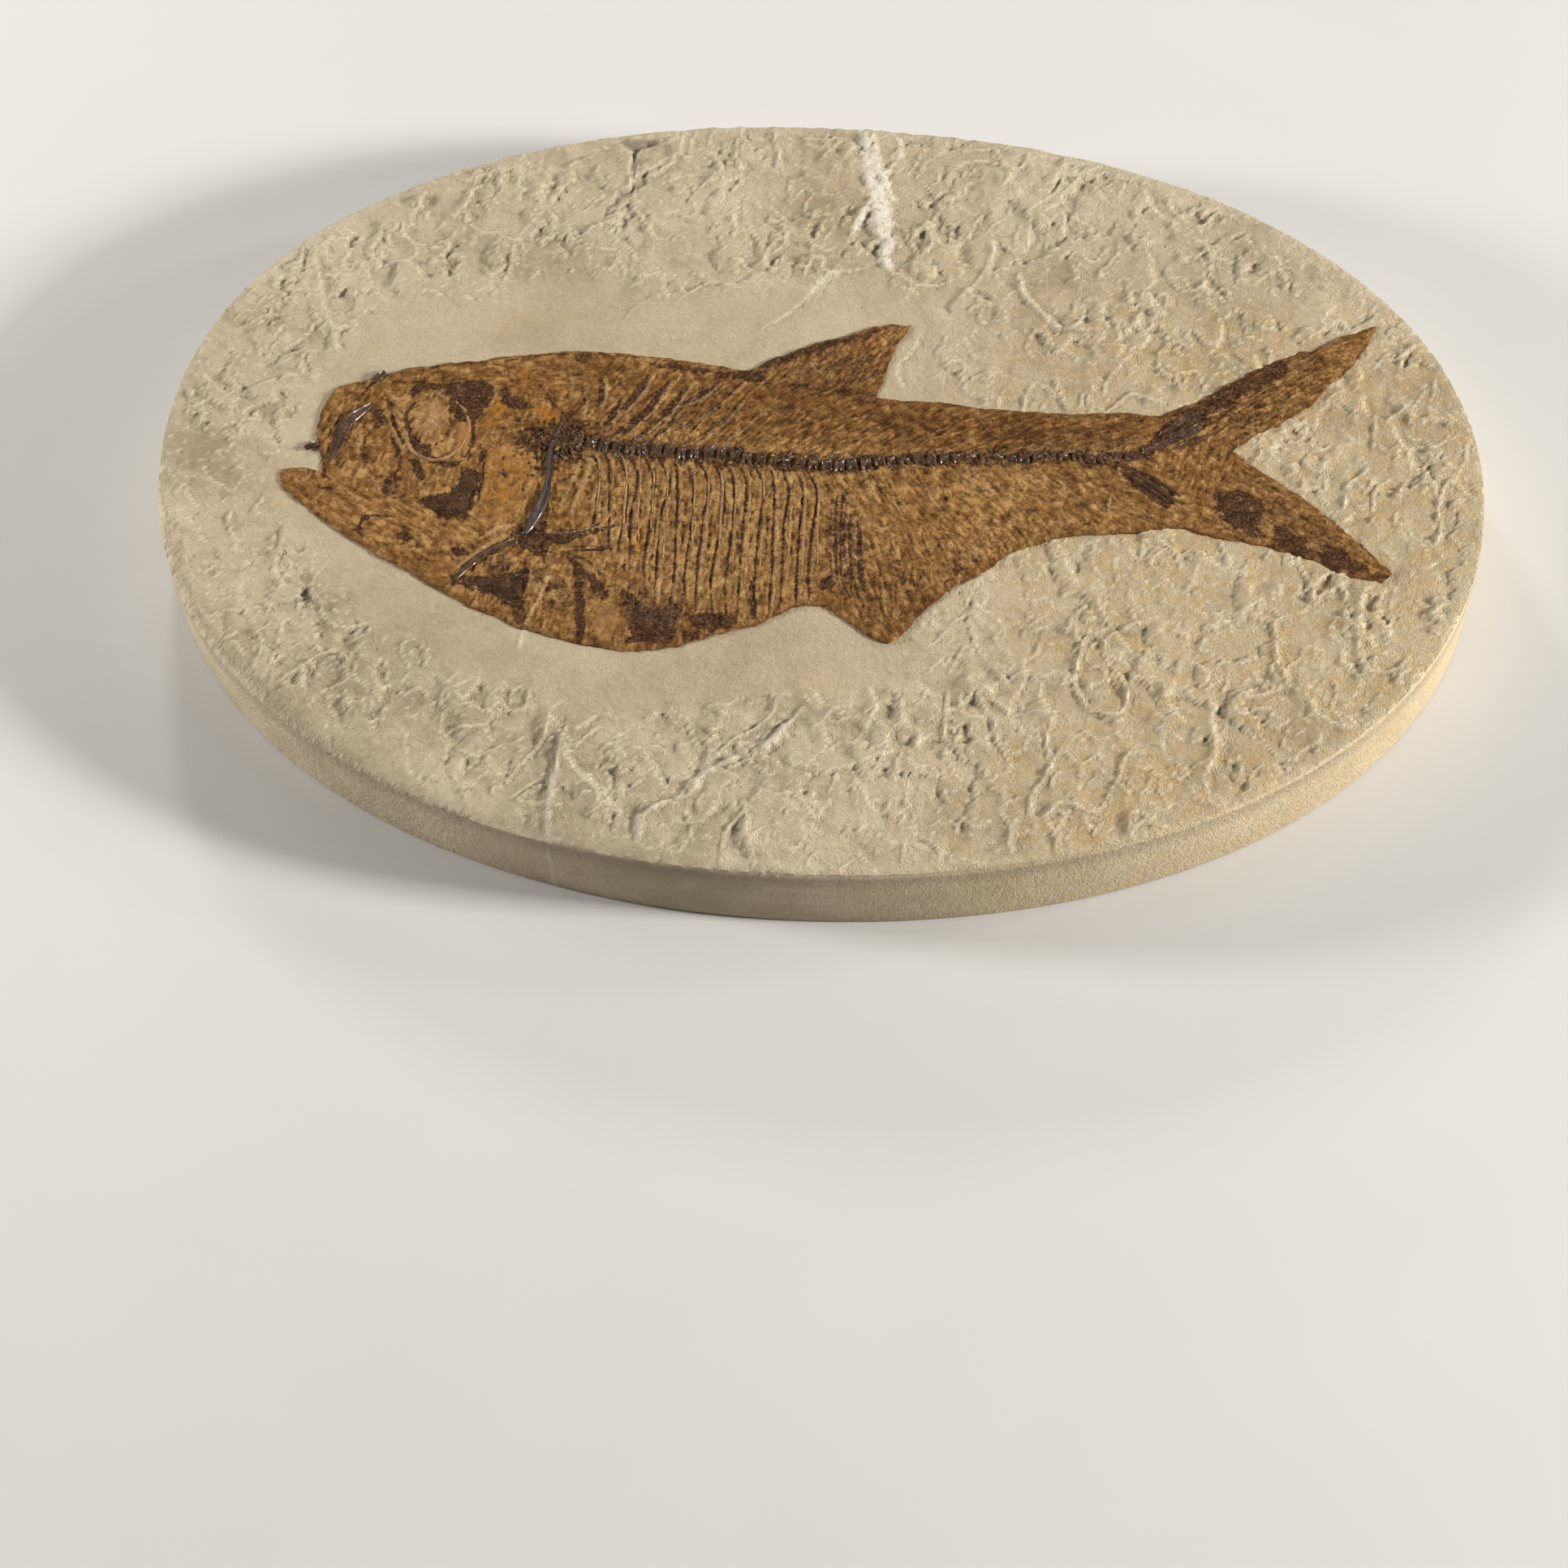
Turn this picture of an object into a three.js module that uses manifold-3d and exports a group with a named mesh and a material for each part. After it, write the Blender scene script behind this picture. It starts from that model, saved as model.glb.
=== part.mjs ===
// A fossil fish in an oval slab of limestone, lying face up, as prepared for display.
// Millimetres, +Z up. The origin is the middle of the flat underside.
// The fish lies along X with its head towards -X and its back towards +Y.
import * as THREE from "three";
import { mergeVertices } from "three/addons/utils/BufferGeometryUtils.js";
import Module from "manifold-3d";

const wasm = await Module();
wasm.setup();

// Driving dimensions of the slab
const slabLength = 330;
const slabWidth = 244.8;
const faceZ = 22.6; // mean height of the split face
const ovalPower = 2.1; // a little squarer than an ellipse
const undercut = 2.3; // the sawn wall leans in by this much at the base
const baseEase = 0.6; // broken edge round the base
const rimDrop = 2.6; // how far down the worn rim starts
const rimInset = 2.4; // how far in the worn rim ends
const rimWaver = { threes: 0.5, threesTurn: 1.2, twos: 0.45, twosTurn: 0.55 }; // how the hand-sawn oval strays
const shoulderSwell = { angle: 2.75, spread: 0.3, height: 1.6 }; // fuller beside the fish's forehead
const rimSegments = 100;
const faceRings = 16;

// Heights of what lies in the face
const filmBottom = 22;
const filmTop = 23.3;
const boneBottom = 22.9;
const gap = 0.3; // clearance between neighbouring pieces
const cutTop = 30; // every seat is cut up to here, clear of the face
const fishPlace = new THREE.Vector3(0.3, 0.7, 0); // where the fish's own zero lies on the slab

// Colours, by what the piece is made of
const limestone = new THREE.MeshStandardMaterial({ color: 0xc9bb9c, roughness: 0.95, metalness: 0 });
const fishSkin = new THREE.MeshStandardMaterial({ color: 0x7a5228, roughness: 0.5, metalness: 0 });
const darkBone = new THREE.MeshStandardMaterial({ color: 0x2e1f16, roughness: 0.35, metalness: 0 });
const paleBone = new THREE.MeshStandardMaterial({ color: 0x8f6634, roughness: 0.45, metalness: 0 });

// ---- Solids and cuts ----

function solidFrom(geometry) {
  const bare = geometry.clone();
  bare.deleteAttribute("normal");
  bare.deleteAttribute("uv");
  const merged = mergeVertices(bare, 1e-4);
  return new wasm.Manifold(
    new wasm.Mesh({
      numProp: 3,
      vertProperties: new Float32Array(merged.attributes.position.array),
      triVerts: new Uint32Array(merged.index.array),
    }),
  );
}

function geometryFrom(solid) {
  const mesh = solid.getMesh();
  const geometry = new THREE.BufferGeometry();
  geometry.setAttribute("position", new THREE.BufferAttribute(new Float32Array(mesh.vertProperties), 3));
  geometry.setIndex(new THREE.BufferAttribute(new Uint32Array(mesh.triVerts), 1));
  geometry.computeVertexNormals();
  return geometry;
}

function carve(geometry, cutters) {
  let solid = solidFrom(geometry);
  for (const cutter of cutters) solid = solid.subtract(solidFrom(cutter));
  return geometryFrom(solid);
}

// Joins rings of points into one skin. Each ring has as many points as the next.
function skinRings(rings, closed) {
  const count = rings[0].length;
  const positions = rings.flat().flatMap((p) => [p.x, p.y, p.z]);
  const faces = [];
  const last = closed ? rings.length : rings.length - 1;
  for (let r = 0; r < last; r++) {
    const here = r * count;
    const next = ((r + 1) % rings.length) * count;
    for (let i = 0; i < count; i++) {
      const j = (i + 1) % count;
      faces.push(here + i, here + j, next + j, here + i, next + j, next + i);
    }
  }
  return { positions, faces, count };
}

// A skin over rings, each end closed by a fan from its first point.
function rodSkin(rings, closed) {
  const { positions, faces, count } = skinRings(rings, closed);
  const end = (rings.length - 1) * count;
  for (let i = 1; i < count - 1 && !closed; i++) {
    faces.push(0, i + 1, i);
    faces.push(end, end + i, end + i + 1);
  }
  return geometryOf(positions, faces);
}

function geometryOf(positions, faces) {
  const geometry = new THREE.BufferGeometry();
  geometry.setAttribute("position", new THREE.Float32BufferAttribute(positions, 3));
  geometry.setIndex(faces);
  geometry.computeVertexNormals();
  return geometry;
}

// ---- The limestone slab ----

// A point of the slab's oval outline.
function ovalPoint(angle, inset) {
  const c = Math.cos(angle);
  const s = Math.sin(angle);
  const power = 2 / ovalPower;
  const x = (slabLength / 2) * Math.sign(c) * Math.abs(c) ** power;
  const y = (slabWidth / 2) * Math.sign(s) * Math.abs(s) ** power;
  const around = Math.atan2(y, x);
  const { threes, threesTurn, twos, twosTurn } = rimWaver;
  const waver = threes * Math.cos(3 * around - threesTurn) + twos * Math.cos(2 * around + twosTurn);
  const fromShoulder = Math.abs(around - shoulderSwell.angle);
  const past = Math.min(fromShoulder, 2 * Math.PI - fromShoulder) / shoulderSwell.spread;
  const swell = shoulderSwell.height * Math.exp(-past * past);
  const reach = Math.hypot(x, y);
  const scale = (reach + waver + swell - inset) / reach;
  return new THREE.Vector2(x * scale, y * scale);
}

function outlineCentre() {
  const box = new THREE.Box2();
  for (let i = 0; i < rimSegments; i++) {
    box.expandByPoint(ovalPoint((i / rimSegments) * 2 * Math.PI, 0));
  }
  return box.getCenter(new THREE.Vector2());
}

const centre = outlineCentre();

// Round the fish's head and body the face is scraped smooth.
const scraped = { x: -52, y: 2, radiusX: 108, radiusY: 72, inner: 0.75, outer: 1.15 };

// How far the split face stands above or below its mean height.
function relief(x, y) {
  const broad = Math.sin(0.045 * x + 1.1) * Math.cos(0.06 * y - 0.4);
  const lumps = Math.sin(0.19 * x + 1.7 * Math.sin(0.05 * y)) * Math.cos(0.23 * y + 0.8);
  const flakes = Math.sin(0.31 * x - 0.24 * y + 2.2);
  const scrapedReach = Math.hypot((x - scraped.x) / scraped.radiusX, (y - scraped.y) / scraped.radiusY);
  const rough = THREE.MathUtils.smoothstep(scrapedReach, scraped.inner, scraped.outer);
  return (0.35 * broad + 0.4 * lumps + 0.25 * flakes) * rough;
}

function slabRing(inset, z) {
  const ring = [];
  for (let i = 0; i < rimSegments; i++) {
    const p = ovalPoint((i / rimSegments) * 2 * Math.PI, inset).sub(centre);
    ring.push(new THREE.Vector3(p.x, p.y, z));
  }
  return ring;
}

function slabGeometry() {
  const rings = [
    slabRing(undercut + baseEase, 0),
    slabRing(undercut, baseEase),
    slabRing(0, faceZ - rimDrop),
    slabRing(0.2 * rimInset, faceZ - 0.4 * rimDrop),
    slabRing(0.55 * rimInset, faceZ - 0.12 * rimDrop),
  ];
  const edge = slabRing(rimInset, faceZ);
  for (let r = 0; r < faceRings; r++) {
    const share = 1 - r / faceRings;
    rings.push(
      edge.map((p) => {
        const x = p.x * share;
        const y = p.y * share;
        return new THREE.Vector3(x, y, faceZ + relief(x, y));
      }),
    );
  }
  const { positions, faces, count } = skinRings(rings, false);
  const topCentre = rings.length * count;
  const bottomCentre = topCentre + 1;
  const lastRing = (rings.length - 1) * count;
  positions.push(0, 0, faceZ + relief(0, 0), 0, 0, 0);
  for (let i = 0; i < count; i++) {
    const j = (i + 1) % count;
    faces.push(lastRing + i, lastRing + j, topCentre);
    faces.push(j, i, bottomCentre);
  }
  return geometryOf(positions, faces);
}

// ---- The fish's outline: one smooth stretch after another, clockwise from the mouth ----

const fishStretches = [
  // mouth, snout and forehead
  [
    [-124.6, -7], [-125.1, -3.5], [-126.3, 0.5], [-127.8, 7],
    [-127.4, 14], [-124.3, 21], [-118.5, 23.8], [-113, 26.4],
  ],
  // nape and back
  [[-113, 26.4], [-102, 30.3], [-90, 33], [-78, 35.6], [-66, 37.8], [-50, 37.6], [-36, 36.6], [-21.2, 34.4]],
  // dorsal fin, front and rear
  [[-21.2, 34.4], [-12, 41.2], [0, 47.3], [11, 52.4], [18.3, 53]],
  [[18.3, 53], [15.2, 45], [12.8, 34.5], [11.6, 27.6]],
  // tail stalk above
  [[11.6, 27.6], [28, 27.3], [44, 26.2], [58, 26], [74, 27.2], [83.2, 26.8]],
  // upper tail lobe, out, past the nick in its edge, and back to the fork
  [[83.2, 26.8], [95, 35], [105, 43.5], [118, 51.8]],
  [[119.6, 51.2], [128, 57.5], [135.6, 61]],
  [[135.6, 61], [133, 53], [127.5, 44], [118, 31], [108, 22.8], [101.5, 17]],
  // lower tail lobe
  [[101.5, 17], [115, 6.5], [124, -0.5], [136, -12.5], [143.6, -20.5]],
  [[140.8, -23.2], [132, -21.2], [123, -17], [112, -13.5], [98, -11.2], [91, -9]],
  // tail stalk below, down to the anal fin's tip
  [[91, -9], [78, -12], [66, -13.2], [52, -18.8], [42, -28], [35.5, -33.2], [29.5, -41], [24.8, -49]],
  [[22.3, -51.4], [20.3, -51.4], [12, -46], [5.5, -40.6]],
  // belly and throat
  [
    [5.5, -40.6], [-2.5, -41.8], [-8, -46.2], [-16.5, -50.2],
    [-30, -56.2], [-41, -58.4], [-53, -57.6], [-69, -53.2],
  ],
  [[-69, -53.2], [-85.5, -45.4], [-101, -36], [-115, -27.5], [-130, -16.2]],
  // the lower jaw's tip
  [[-130, -16.2], [-134.3, -11], [-134.2, -7.2], [-130, -6.2], [-124.6, -7]],
];

function pointsAlong(stretches, perPoint) {
  const points = [];
  for (const stretch of stretches) {
    const curve = new THREE.SplineCurve(stretch.map(([x, y]) => new THREE.Vector2(x, y)));
    points.push(...curve.getPoints((stretch.length - 1) * perPoint));
  }
  return points.filter((p, i) => p.distanceTo(points[(i + 1) % points.length]) > 0.05);
}

// Moves each point of a closed outline outwards, along the middle of its two edges' normals.
function grown(points, by) {
  const side = Math.sign(THREE.ShapeUtils.area(points));
  return points.map((p, i) => {
    const before = points[(i + points.length - 1) % points.length];
    const after = points[(i + 1) % points.length];
    const inDir = p.clone().sub(before).normalize();
    const outDir = after.clone().sub(p).normalize();
    const normal = new THREE.Vector2(inDir.y + outDir.y, -inDir.x - outDir.x).normalize();
    const lean = Math.max(0.35, normal.dot(new THREE.Vector2(inDir.y, -inDir.x)));
    return p.clone().addScaledVector(normal, (side * by) / lean);
  });
}

function plate(points, bottom, top) {
  const shape = new THREE.Shape(points);
  const geometry = new THREE.ExtrudeGeometry(shape, { depth: top - bottom, bevelEnabled: false });
  return geometry.translate(0, 0, bottom);
}

// ---- Bones: a domed rod along a curve, and its seat ----

function blend(values, t) {
  const place = t * (values.length - 1);
  const low = Math.min(values.length - 2, Math.floor(place));
  return THREE.MathUtils.lerp(values[low], values[low + 1], place - low);
}

// One cross-section of a rod: five points, wide at the foot and domed above.
function rodSection({ point, across, halfWidth, top }) {
  const shoulder = boneBottom + 0.75 * (top - boneBottom);
  const profile = [[-1, boneBottom], [-0.75, shoulder], [0, top], [0.75, shoulder], [1, boneBottom]];
  return profile.map(([side, z]) => {
    const out = side * halfWidth;
    return new THREE.Vector3(point.x + across.x * out, point.y + across.y * out, z);
  });
}

function rodStations({ path, halfWidths, tops, steps, closed = false, beads = 0 }) {
  const knots = path.map(([x, y]) => new THREE.Vector3(x, y, 0));
  const curve = new THREE.CatmullRomCurve3(knots, closed);
  const stations = [];
  const count = closed ? steps : steps + 1;
  for (let i = 0; i < count; i++) {
    const t = i / steps;
    const tangent = curve.getTangent(t);
    const swell = i % 2 ? 1 - beads : 1;
    stations.push({
      point: curve.getPoint(t),
      across: new THREE.Vector2(tangent.y, -tangent.x),
      halfWidth: blend(halfWidths, t) * swell,
      top: blend(tops, t),
    });
  }
  return stations;
}

function rodGeometry(bone) {
  const rings = rodStations(bone).map((s) => rodSection(s));
  return rodSkin(rings, bone.closed);
}

// The seat of a rod: a straight-sided cut that clears it all round.
function rodSeat(bone) {
  const floor = boneBottom - gap;
  const rings = rodStations({ ...bone, beads: 0 }).map(({ point, across, halfWidth }) => {
    const wide = halfWidth + gap;
    const corners = [[-wide, floor], [-wide, cutTop], [wide, cutTop], [wide, floor]];
    return corners.map(([out, z]) => {
      return new THREE.Vector3(point.x + across.x * out, point.y + across.y * out, z);
    });
  });
  if (!bone.closed) {
    lengthen(rings[0], rings[1]);
    lengthen(rings.at(-1), rings.at(-2));
  }
  return rodSkin(rings, bone.closed);
}

// Moves an end ring away from the one next to it by the gap.
function lengthen(ring, neighbour) {
  const away = ring[0].clone().sub(neighbour[0]).setLength(gap);
  ring.forEach((p) => p.add(away));
}

function ellipsePath(x, y, radiusX, radiusY, count) {
  const path = [];
  for (let i = 0; i < count; i++) {
    const angle = (i / count) * 2 * Math.PI;
    path.push([x + radiusX * Math.cos(angle), y + radiusY * Math.sin(angle)]);
  }
  return path;
}

const vertebraLength = 3.3;

const rods = {
  backbone: {
    path: [
      [-62.6, 7.4], [-50, 6], [-35, 5.3], [-20, 5.2], [-8, 4.7], [2, 4.4], [15, 6.4], [30, 8.5],
      [45, 9.8], [60, 11.5], [71, 11.6], [79.5, 14], [86, 18.4], [92, 23.5], [98, 28.5],
    ],
    halfWidths: [2.6, 2.5, 2.5, 2.3, 2, 1.4, 0.6],
    tops: [24.3, 24.3, 24.2, 24, 23.7],
    steps: 2 * Math.round(175 / vertebraLength),
    beads: 0.28,
    material: darkBone,
  },
  lower_tail_bone: {
    path: [[76.6, 8.4], [81.5, 5], [86, 1.2], [88.6, -0.9]],
    halfWidths: [0.9, 1.5, 1.9, 1.1],
    tops: [23.6, 24, 24.1, 23.7],
    steps: 8,
    material: darkBone,
  },
  shoulder_bone: {
    path: [
      [-65.6, 16.4], [-66.6, 10], [-68.2, 4], [-67.6, -3],
      [-67.4, -9], [-68.4, -15], [-70, -20.5], [-71.2, -24],
    ],
    halfWidths: [0.5, 1.2, 1.5, 1.3, 1.7, 2, 1.6, 0.7],
    tops: [23.7, 24.1, 24.5, 24.7, 24.7, 24.5, 24],
    steps: 18,
    material: darkBone,
  },
  throat_bone: {
    path: [[-72.8, -25.8], [-77, -28.6], [-81, -31.8], [-84, -35.4], [-86.8, -40]],
    halfWidths: [1.3, 1.2, 0.9, 0.9, 0.5],
    tops: [24.1, 24, 23.8, 23.7],
    steps: 10,
    material: darkBone,
  },
  upper_jaw: {
    path: [[-115, 16.2], [-117.6, 13.2], [-120.6, 9.5], [-121.8, 4], [-122.2, -0.5], [-123.4, -4.6]],
    halfWidths: [0.7, 1.6, 2.3, 2, 1.3, 0.4],
    tops: [23.8, 24.1, 24.2, 24, 23.7],
    steps: 14,
    material: darkBone,
  },
  crest_knob: {
    path: [[-116, 23.2], [-114.5, 25.6], [-113.3, 27.6]],
    halfWidths: [0.8, 1.6, 0.7],
    tops: [23.8, 24.3, 23.7],
    steps: 4,
    material: darkBone,
  },
  jaw_tooth: {
    path: [[-130.2, 0], [-128.4, 1.3], [-126.6, 2.6]],
    halfWidths: [0.7, 1.3, 0.8],
    tops: [23.6, 24, 23.7],
    steps: 4,
    material: darkBone,
  },
  pectoral_ray_1: {
    path: [[-66, -23.8], [-60, -22.7], [-53, -20.5], [-47, -18.8]],
    halfWidths: [1, 0.7, 0.5, 0.3],
    tops: [23.9, 23.8, 23.7],
    steps: 8,
    material: darkBone,
  },
  pectoral_ray_2: {
    path: [[-58, -28.1], [-53.5, -27.5], [-48.8, -27]],
    halfWidths: [0.35, 0.45, 0.3],
    tops: [23.6, 23.7, 23.6],
    steps: 4,
    material: darkBone,
  },
  eye_ring: {
    path: ellipsePath(-97, 9, 7.9, 10.2, 12),
    halfWidths: [0.8, 1, 1.1, 1, 0.8],
    tops: [23.9, 24.1, 23.9, 24.1, 23.9],
    steps: 36,
    closed: true,
    material: paleBone,
  },
};

const plates = {
  gill_cover: {
    outline: [
      [-84, 2.4], [-79, 4], [-74, 2], [-71.4, -2], [-70.2, -8], [-71.4, -13.6],
      [-74, -18.8], [-79, -18.4], [-83, -17.4], [-83.6, -10], [-84.6, -3], [-84, 2.4],
    ],
    top: 23.9,
    material: paleBone,
  },
  cheek_bone: {
    outline: [
      [-98.6, -13.2], [-94, -11.5], [-90.6, -8.4], [-89, -4], [-86.6, -3.4], [-85.6, -8],
      [-85.4, -14], [-86.2, -17.8], [-91, -20], [-95.2, -18], [-98.6, -15], [-98.6, -13.2],
    ],
    top: 23.8,
    material: darkBone,
  },
  breast_plate: {
    outline: [
      [-83.2, -38.6], [-79, -38.6], [-74, -37.6], [-70.4, -34.2], [-68.6, -34],
      [-68.8, -39], [-69, -44], [-73, -45.2], [-78, -43.4], [-81.8, -41.2], [-83.2, -38.6],
    ],
    top: 23.7,
    material: darkBone,
  },
};

// ---- Assembly ----

function pieceOf(name, geometry, material) {
  const mesh = new THREE.Mesh(geometry, material);
  mesh.name = name;
  return mesh;
}

const fishOutline = pointsAlong(fishStretches, 3);
const boneSeats = Object.values(rods).map(rodSeat);
const bones = Object.entries(rods).map(([name, bone]) => {
  return pieceOf(name, rodGeometry(bone), bone.material);
});

for (const [name, { outline, top, material }] of Object.entries(plates)) {
  const edge = pointsAlong([outline], 2);
  boneSeats.push(plate(grown(edge, gap), boneBottom - gap, cutTop));
  bones.push(pieceOf(name, plate(edge, boneBottom, top), material));
}

const film = carve(plate(fishOutline, filmBottom, filmTop), boneSeats);
const seatsInSlab = [plate(grown(fishOutline, gap), filmBottom - gap, cutTop), ...boneSeats];
for (const seat of seatsInSlab) seat.translate(fishPlace.x, fishPlace.y, fishPlace.z);

const fish = new THREE.Group();
fish.position.copy(fishPlace);
fish.add(pieceOf("fish_film", film, fishSkin), ...bones);

const slab = new THREE.Group();
slab.add(pieceOf("matrix_slab", carve(slabGeometry(), seatsInSlab), limestone), fish);

export default slab;
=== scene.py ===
# Fossil fish on an oval slab of limestone
import bpy
import math
import random
import numpy as np
from mathutils import Matrix, Vector, kdtree, noise


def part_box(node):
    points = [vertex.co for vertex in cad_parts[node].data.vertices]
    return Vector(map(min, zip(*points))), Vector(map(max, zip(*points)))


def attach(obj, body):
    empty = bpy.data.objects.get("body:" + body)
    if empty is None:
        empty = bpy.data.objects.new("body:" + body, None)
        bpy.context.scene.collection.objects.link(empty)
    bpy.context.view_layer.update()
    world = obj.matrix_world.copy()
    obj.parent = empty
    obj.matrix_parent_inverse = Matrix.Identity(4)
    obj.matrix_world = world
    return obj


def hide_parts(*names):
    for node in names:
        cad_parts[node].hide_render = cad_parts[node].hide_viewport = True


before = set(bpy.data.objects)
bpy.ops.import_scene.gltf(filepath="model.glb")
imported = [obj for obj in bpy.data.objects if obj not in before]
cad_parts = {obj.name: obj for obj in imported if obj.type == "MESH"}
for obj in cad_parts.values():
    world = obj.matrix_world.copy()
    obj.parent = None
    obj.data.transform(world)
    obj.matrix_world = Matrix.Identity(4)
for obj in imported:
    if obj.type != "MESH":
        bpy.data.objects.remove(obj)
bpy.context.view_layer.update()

mm = 0.001  # everything below is written in millimetres


# lines and outlines

# a smooth line through given rows, with a row about every step; the first two columns are the place
def curveThrough(rows, step=0.5):
    rows = np.array(rows, float)
    held = np.vstack([2 * rows[0] - rows[1], rows, 2 * rows[-1] - rows[-2]])
    made = []
    for before, start, end, after in zip(held, held[1:], held[2:], held[3:]):
        count = max(2, int(np.linalg.norm((end - start)[:2]) / step))
        t = np.linspace(0, 1, count, endpoint=False)[:, None]
        bend = 2 * before - 5 * start + 4 * end - after
        twist = 3 * start - before - 3 * end + after
        made.append(0.5 * (2 * start + (end - before) * t + bend * t**2 + twist * t**3))
    return np.vstack(made + [rows[-1:]])


def smoothStep(low, high, value):
    share = np.clip((value - low) / (high - low), 0, 1)
    return share * share * (3 - 2 * share)


# which points lie inside a closed outline: an odd number of its edges pass each point's left side
def insideOutline(points, outline):
    inside = np.zeros(len(points), bool)
    low, high = outline.min(axis=0), outline.max(axis=0)
    near = np.flatnonzero(((points >= low) & (points <= high)).all(axis=1))
    near = near[np.argsort(points[near, 1], kind="stable")]
    heights = points[near, 1]
    for start, end in zip(outline, np.roll(outline, -1, axis=0)):
        first, last = np.searchsorted(heights, sorted((start[1], end[1])))
        row = near[first:last]
        if len(row):
            share = (points[row, 1] - start[1]) / (end[1] - start[1])
            inside[row] ^= points[row, 0] > start[0] + share * (end[0] - start[0])
    return inside


# how far each point is from a closed outline
def edgeDistance(points, outline):
    tree = kdtree.KDTree(len(outline))
    for index, place in enumerate(outline):
        tree.insert((place[0], place[1], 0), index)
    tree.balance()
    return np.array([tree.find((x, y, 0))[2] for x, y in points])


def noiseField(x, y, size, seed, stretch=1.0):
    return np.array([noise.noise((a, b, seed)) for a, b in zip(x / size, y / (size * stretch))])


# broken chips of about one size: each cell leans its own way and stands at its own height
def chips(x, y, size, seed, lean=0.5):
    made = np.zeros(len(x))
    for index, (a, b) in enumerate(zip(x / size, y / size)):
        px, py = noise.voronoi((a, b, seed))[1][0][:2]
        tilt = math.sin(px * 12.99 + py * 78.23) * 43.7
        turn = (tilt - math.floor(tilt)) * 2 * math.pi
        rise = math.sin(px * 39.35 + py * 11.13) * 93.1
        rise = rise - math.floor(rise) - 0.5
        made[index] = rise + 2 * lean * ((a - px) * math.cos(turn) + (b - py) * math.sin(turn))
    return made


# thin raised lines that wander over the ground, broken here and there
def crests(x, y, size, seed, width, stretch=1.5):
    line = np.clip(1 - np.abs(noiseField(x, y, size, seed, stretch)) / width, 0, 1)
    return line * smoothStep(-0.1, 0.2, noiseField(x, y, size * 1.7, seed + 3.3))


# a surface that strokes and patches are laid on

# layers are numbers per point: lift is height in mm, the others say how strongly a colour or finish shows
class Surface:
    def __init__(self, points, names, frayed=1.1):
        self.x, self.y = points[:, 0].copy(), points[:, 1].copy()
        self.layers = {name: np.zeros(len(points)) for name in names}
        self.fray = noiseField(self.x, self.y, frayed, 4.2)
        self.fray += 1.1 * noiseField(self.x, self.y, frayed * 3, 9.2)

    # each point near the line: its index, distance, side, and the line's half width there
    def nearLine(self, curve, reach):
        low, high = curve[:, :2].min(axis=0) - reach, curve[:, :2].max(axis=0) + reach
        near = (self.x > low[0]) & (self.x < high[0]) & (self.y > low[1]) & (self.y < high[1])
        near = np.flatnonzero(near)
        px, py = self.x[near], self.y[near]
        best = np.full(len(near), 1e9)
        side, half, along = np.zeros((3, len(near)))
        for index, (a, b) in enumerate(zip(curve, curve[1:])):
            dx, dy = b[0] - a[0], b[1] - a[1]
            share = np.clip(((px - a[0]) * dx + (py - a[1]) * dy) / (dx * dx + dy * dy + 1e-12), 0, 1)
            offX, offY = px - a[0] - share * dx, py - a[1] - share * dy
            distance = np.hypot(offX, offY)
            closer = distance < best
            best[closer] = distance[closer]
            side[closer] = np.sign(dx * offY - dy * offX)[closer]
            half[closer] = (a[2] + share * (b[2] - a[2]))[closer]
            along[closer] = (index + share)[closer] / (len(curve) - 1)
        return near, best, side, half, along

    def lay(self, near, strength, amounts):
        for name, amount in amounts.items():
            values = self.layers[name]
            if name == "lift":
                values[near] += strength * amount
            else:
                values[near] = np.maximum(values[near], strength * amount)

    # a stroke: rows of x, y and half width, or one half width for all of them
    def line(self, rows, half=None, soft=0.3, ragged=0.15, **amounts):
        rows = [tuple(row) if half is None else (*row[:2], half) for row in rows]
        if half is not None:
            rows[0], rows[-1] = (*rows[0][:2], half * 0.35), (*rows[-1][:2], half * 0.35)
        curve = curveThrough(rows, 0.8)
        near, distance, side, half, along = self.nearLine(curve, curve[:, 2].max() + soft + ragged + 0.3)
        distance = distance + self.fray[near] * ragged
        self.lay(near, 1 - smoothStep(half - soft, half + soft, distance), amounts)

    # a patch inside a closed outline
    def patch(self, rows, soft=0.6, ragged=0.5, **amounts):
        closed = curveThrough([(*row[:2], 0) for row in [*rows, rows[0]]], 0.8)
        near, distance, side, half, along = self.nearLine(closed, soft + ragged + 0.5)
        inside = insideOutline(np.column_stack([self.x[near], self.y[near]]), closed[:-1, :2])
        signed = np.where(inside, distance, -distance) + self.fray[near] * ragged
        self.lay(near, smoothStep(-soft, soft, signed), amounts)

    # a broken edge: the ground stands up on the left of the line and fades away from it
    def ledge(self, rows, height, fade, soft=0.3, mask=None):
        curve = curveThrough([(*row[:2], 0) for row in rows], 0.9)
        near, distance, side, half, along = self.nearLine(curve, fade * 2.5)
        ends = smoothStep(0, 0.18, along) * (1 - smoothStep(0.82, 1, along))
        signed = distance * side + self.fray[near] * 0.25
        rise = smoothStep(-soft, soft, signed) * np.exp(-np.maximum(signed, 0) / fade)
        rise *= ends * (1 - smoothStep(fade * 1.6, fade * 2.5, distance))
        self.layers["lift"][near] += height * rise * (1 if mask is None else mask[near])

    def store(self, mesh):
        for name, values in self.layers.items():
            if name != "lift":
                stored = mesh.attributes.new(name, "FLOAT", "POINT")
                stored.data.foreach_set("value", np.clip(values, 0, 1).astype(np.float32))


# hand work on meshes

def deselectAll():
    if bpy.context.mode != "OBJECT":
        bpy.ops.object.mode_set(mode="OBJECT")
    bpy.ops.object.select_all(action="DESELECT")


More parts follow.
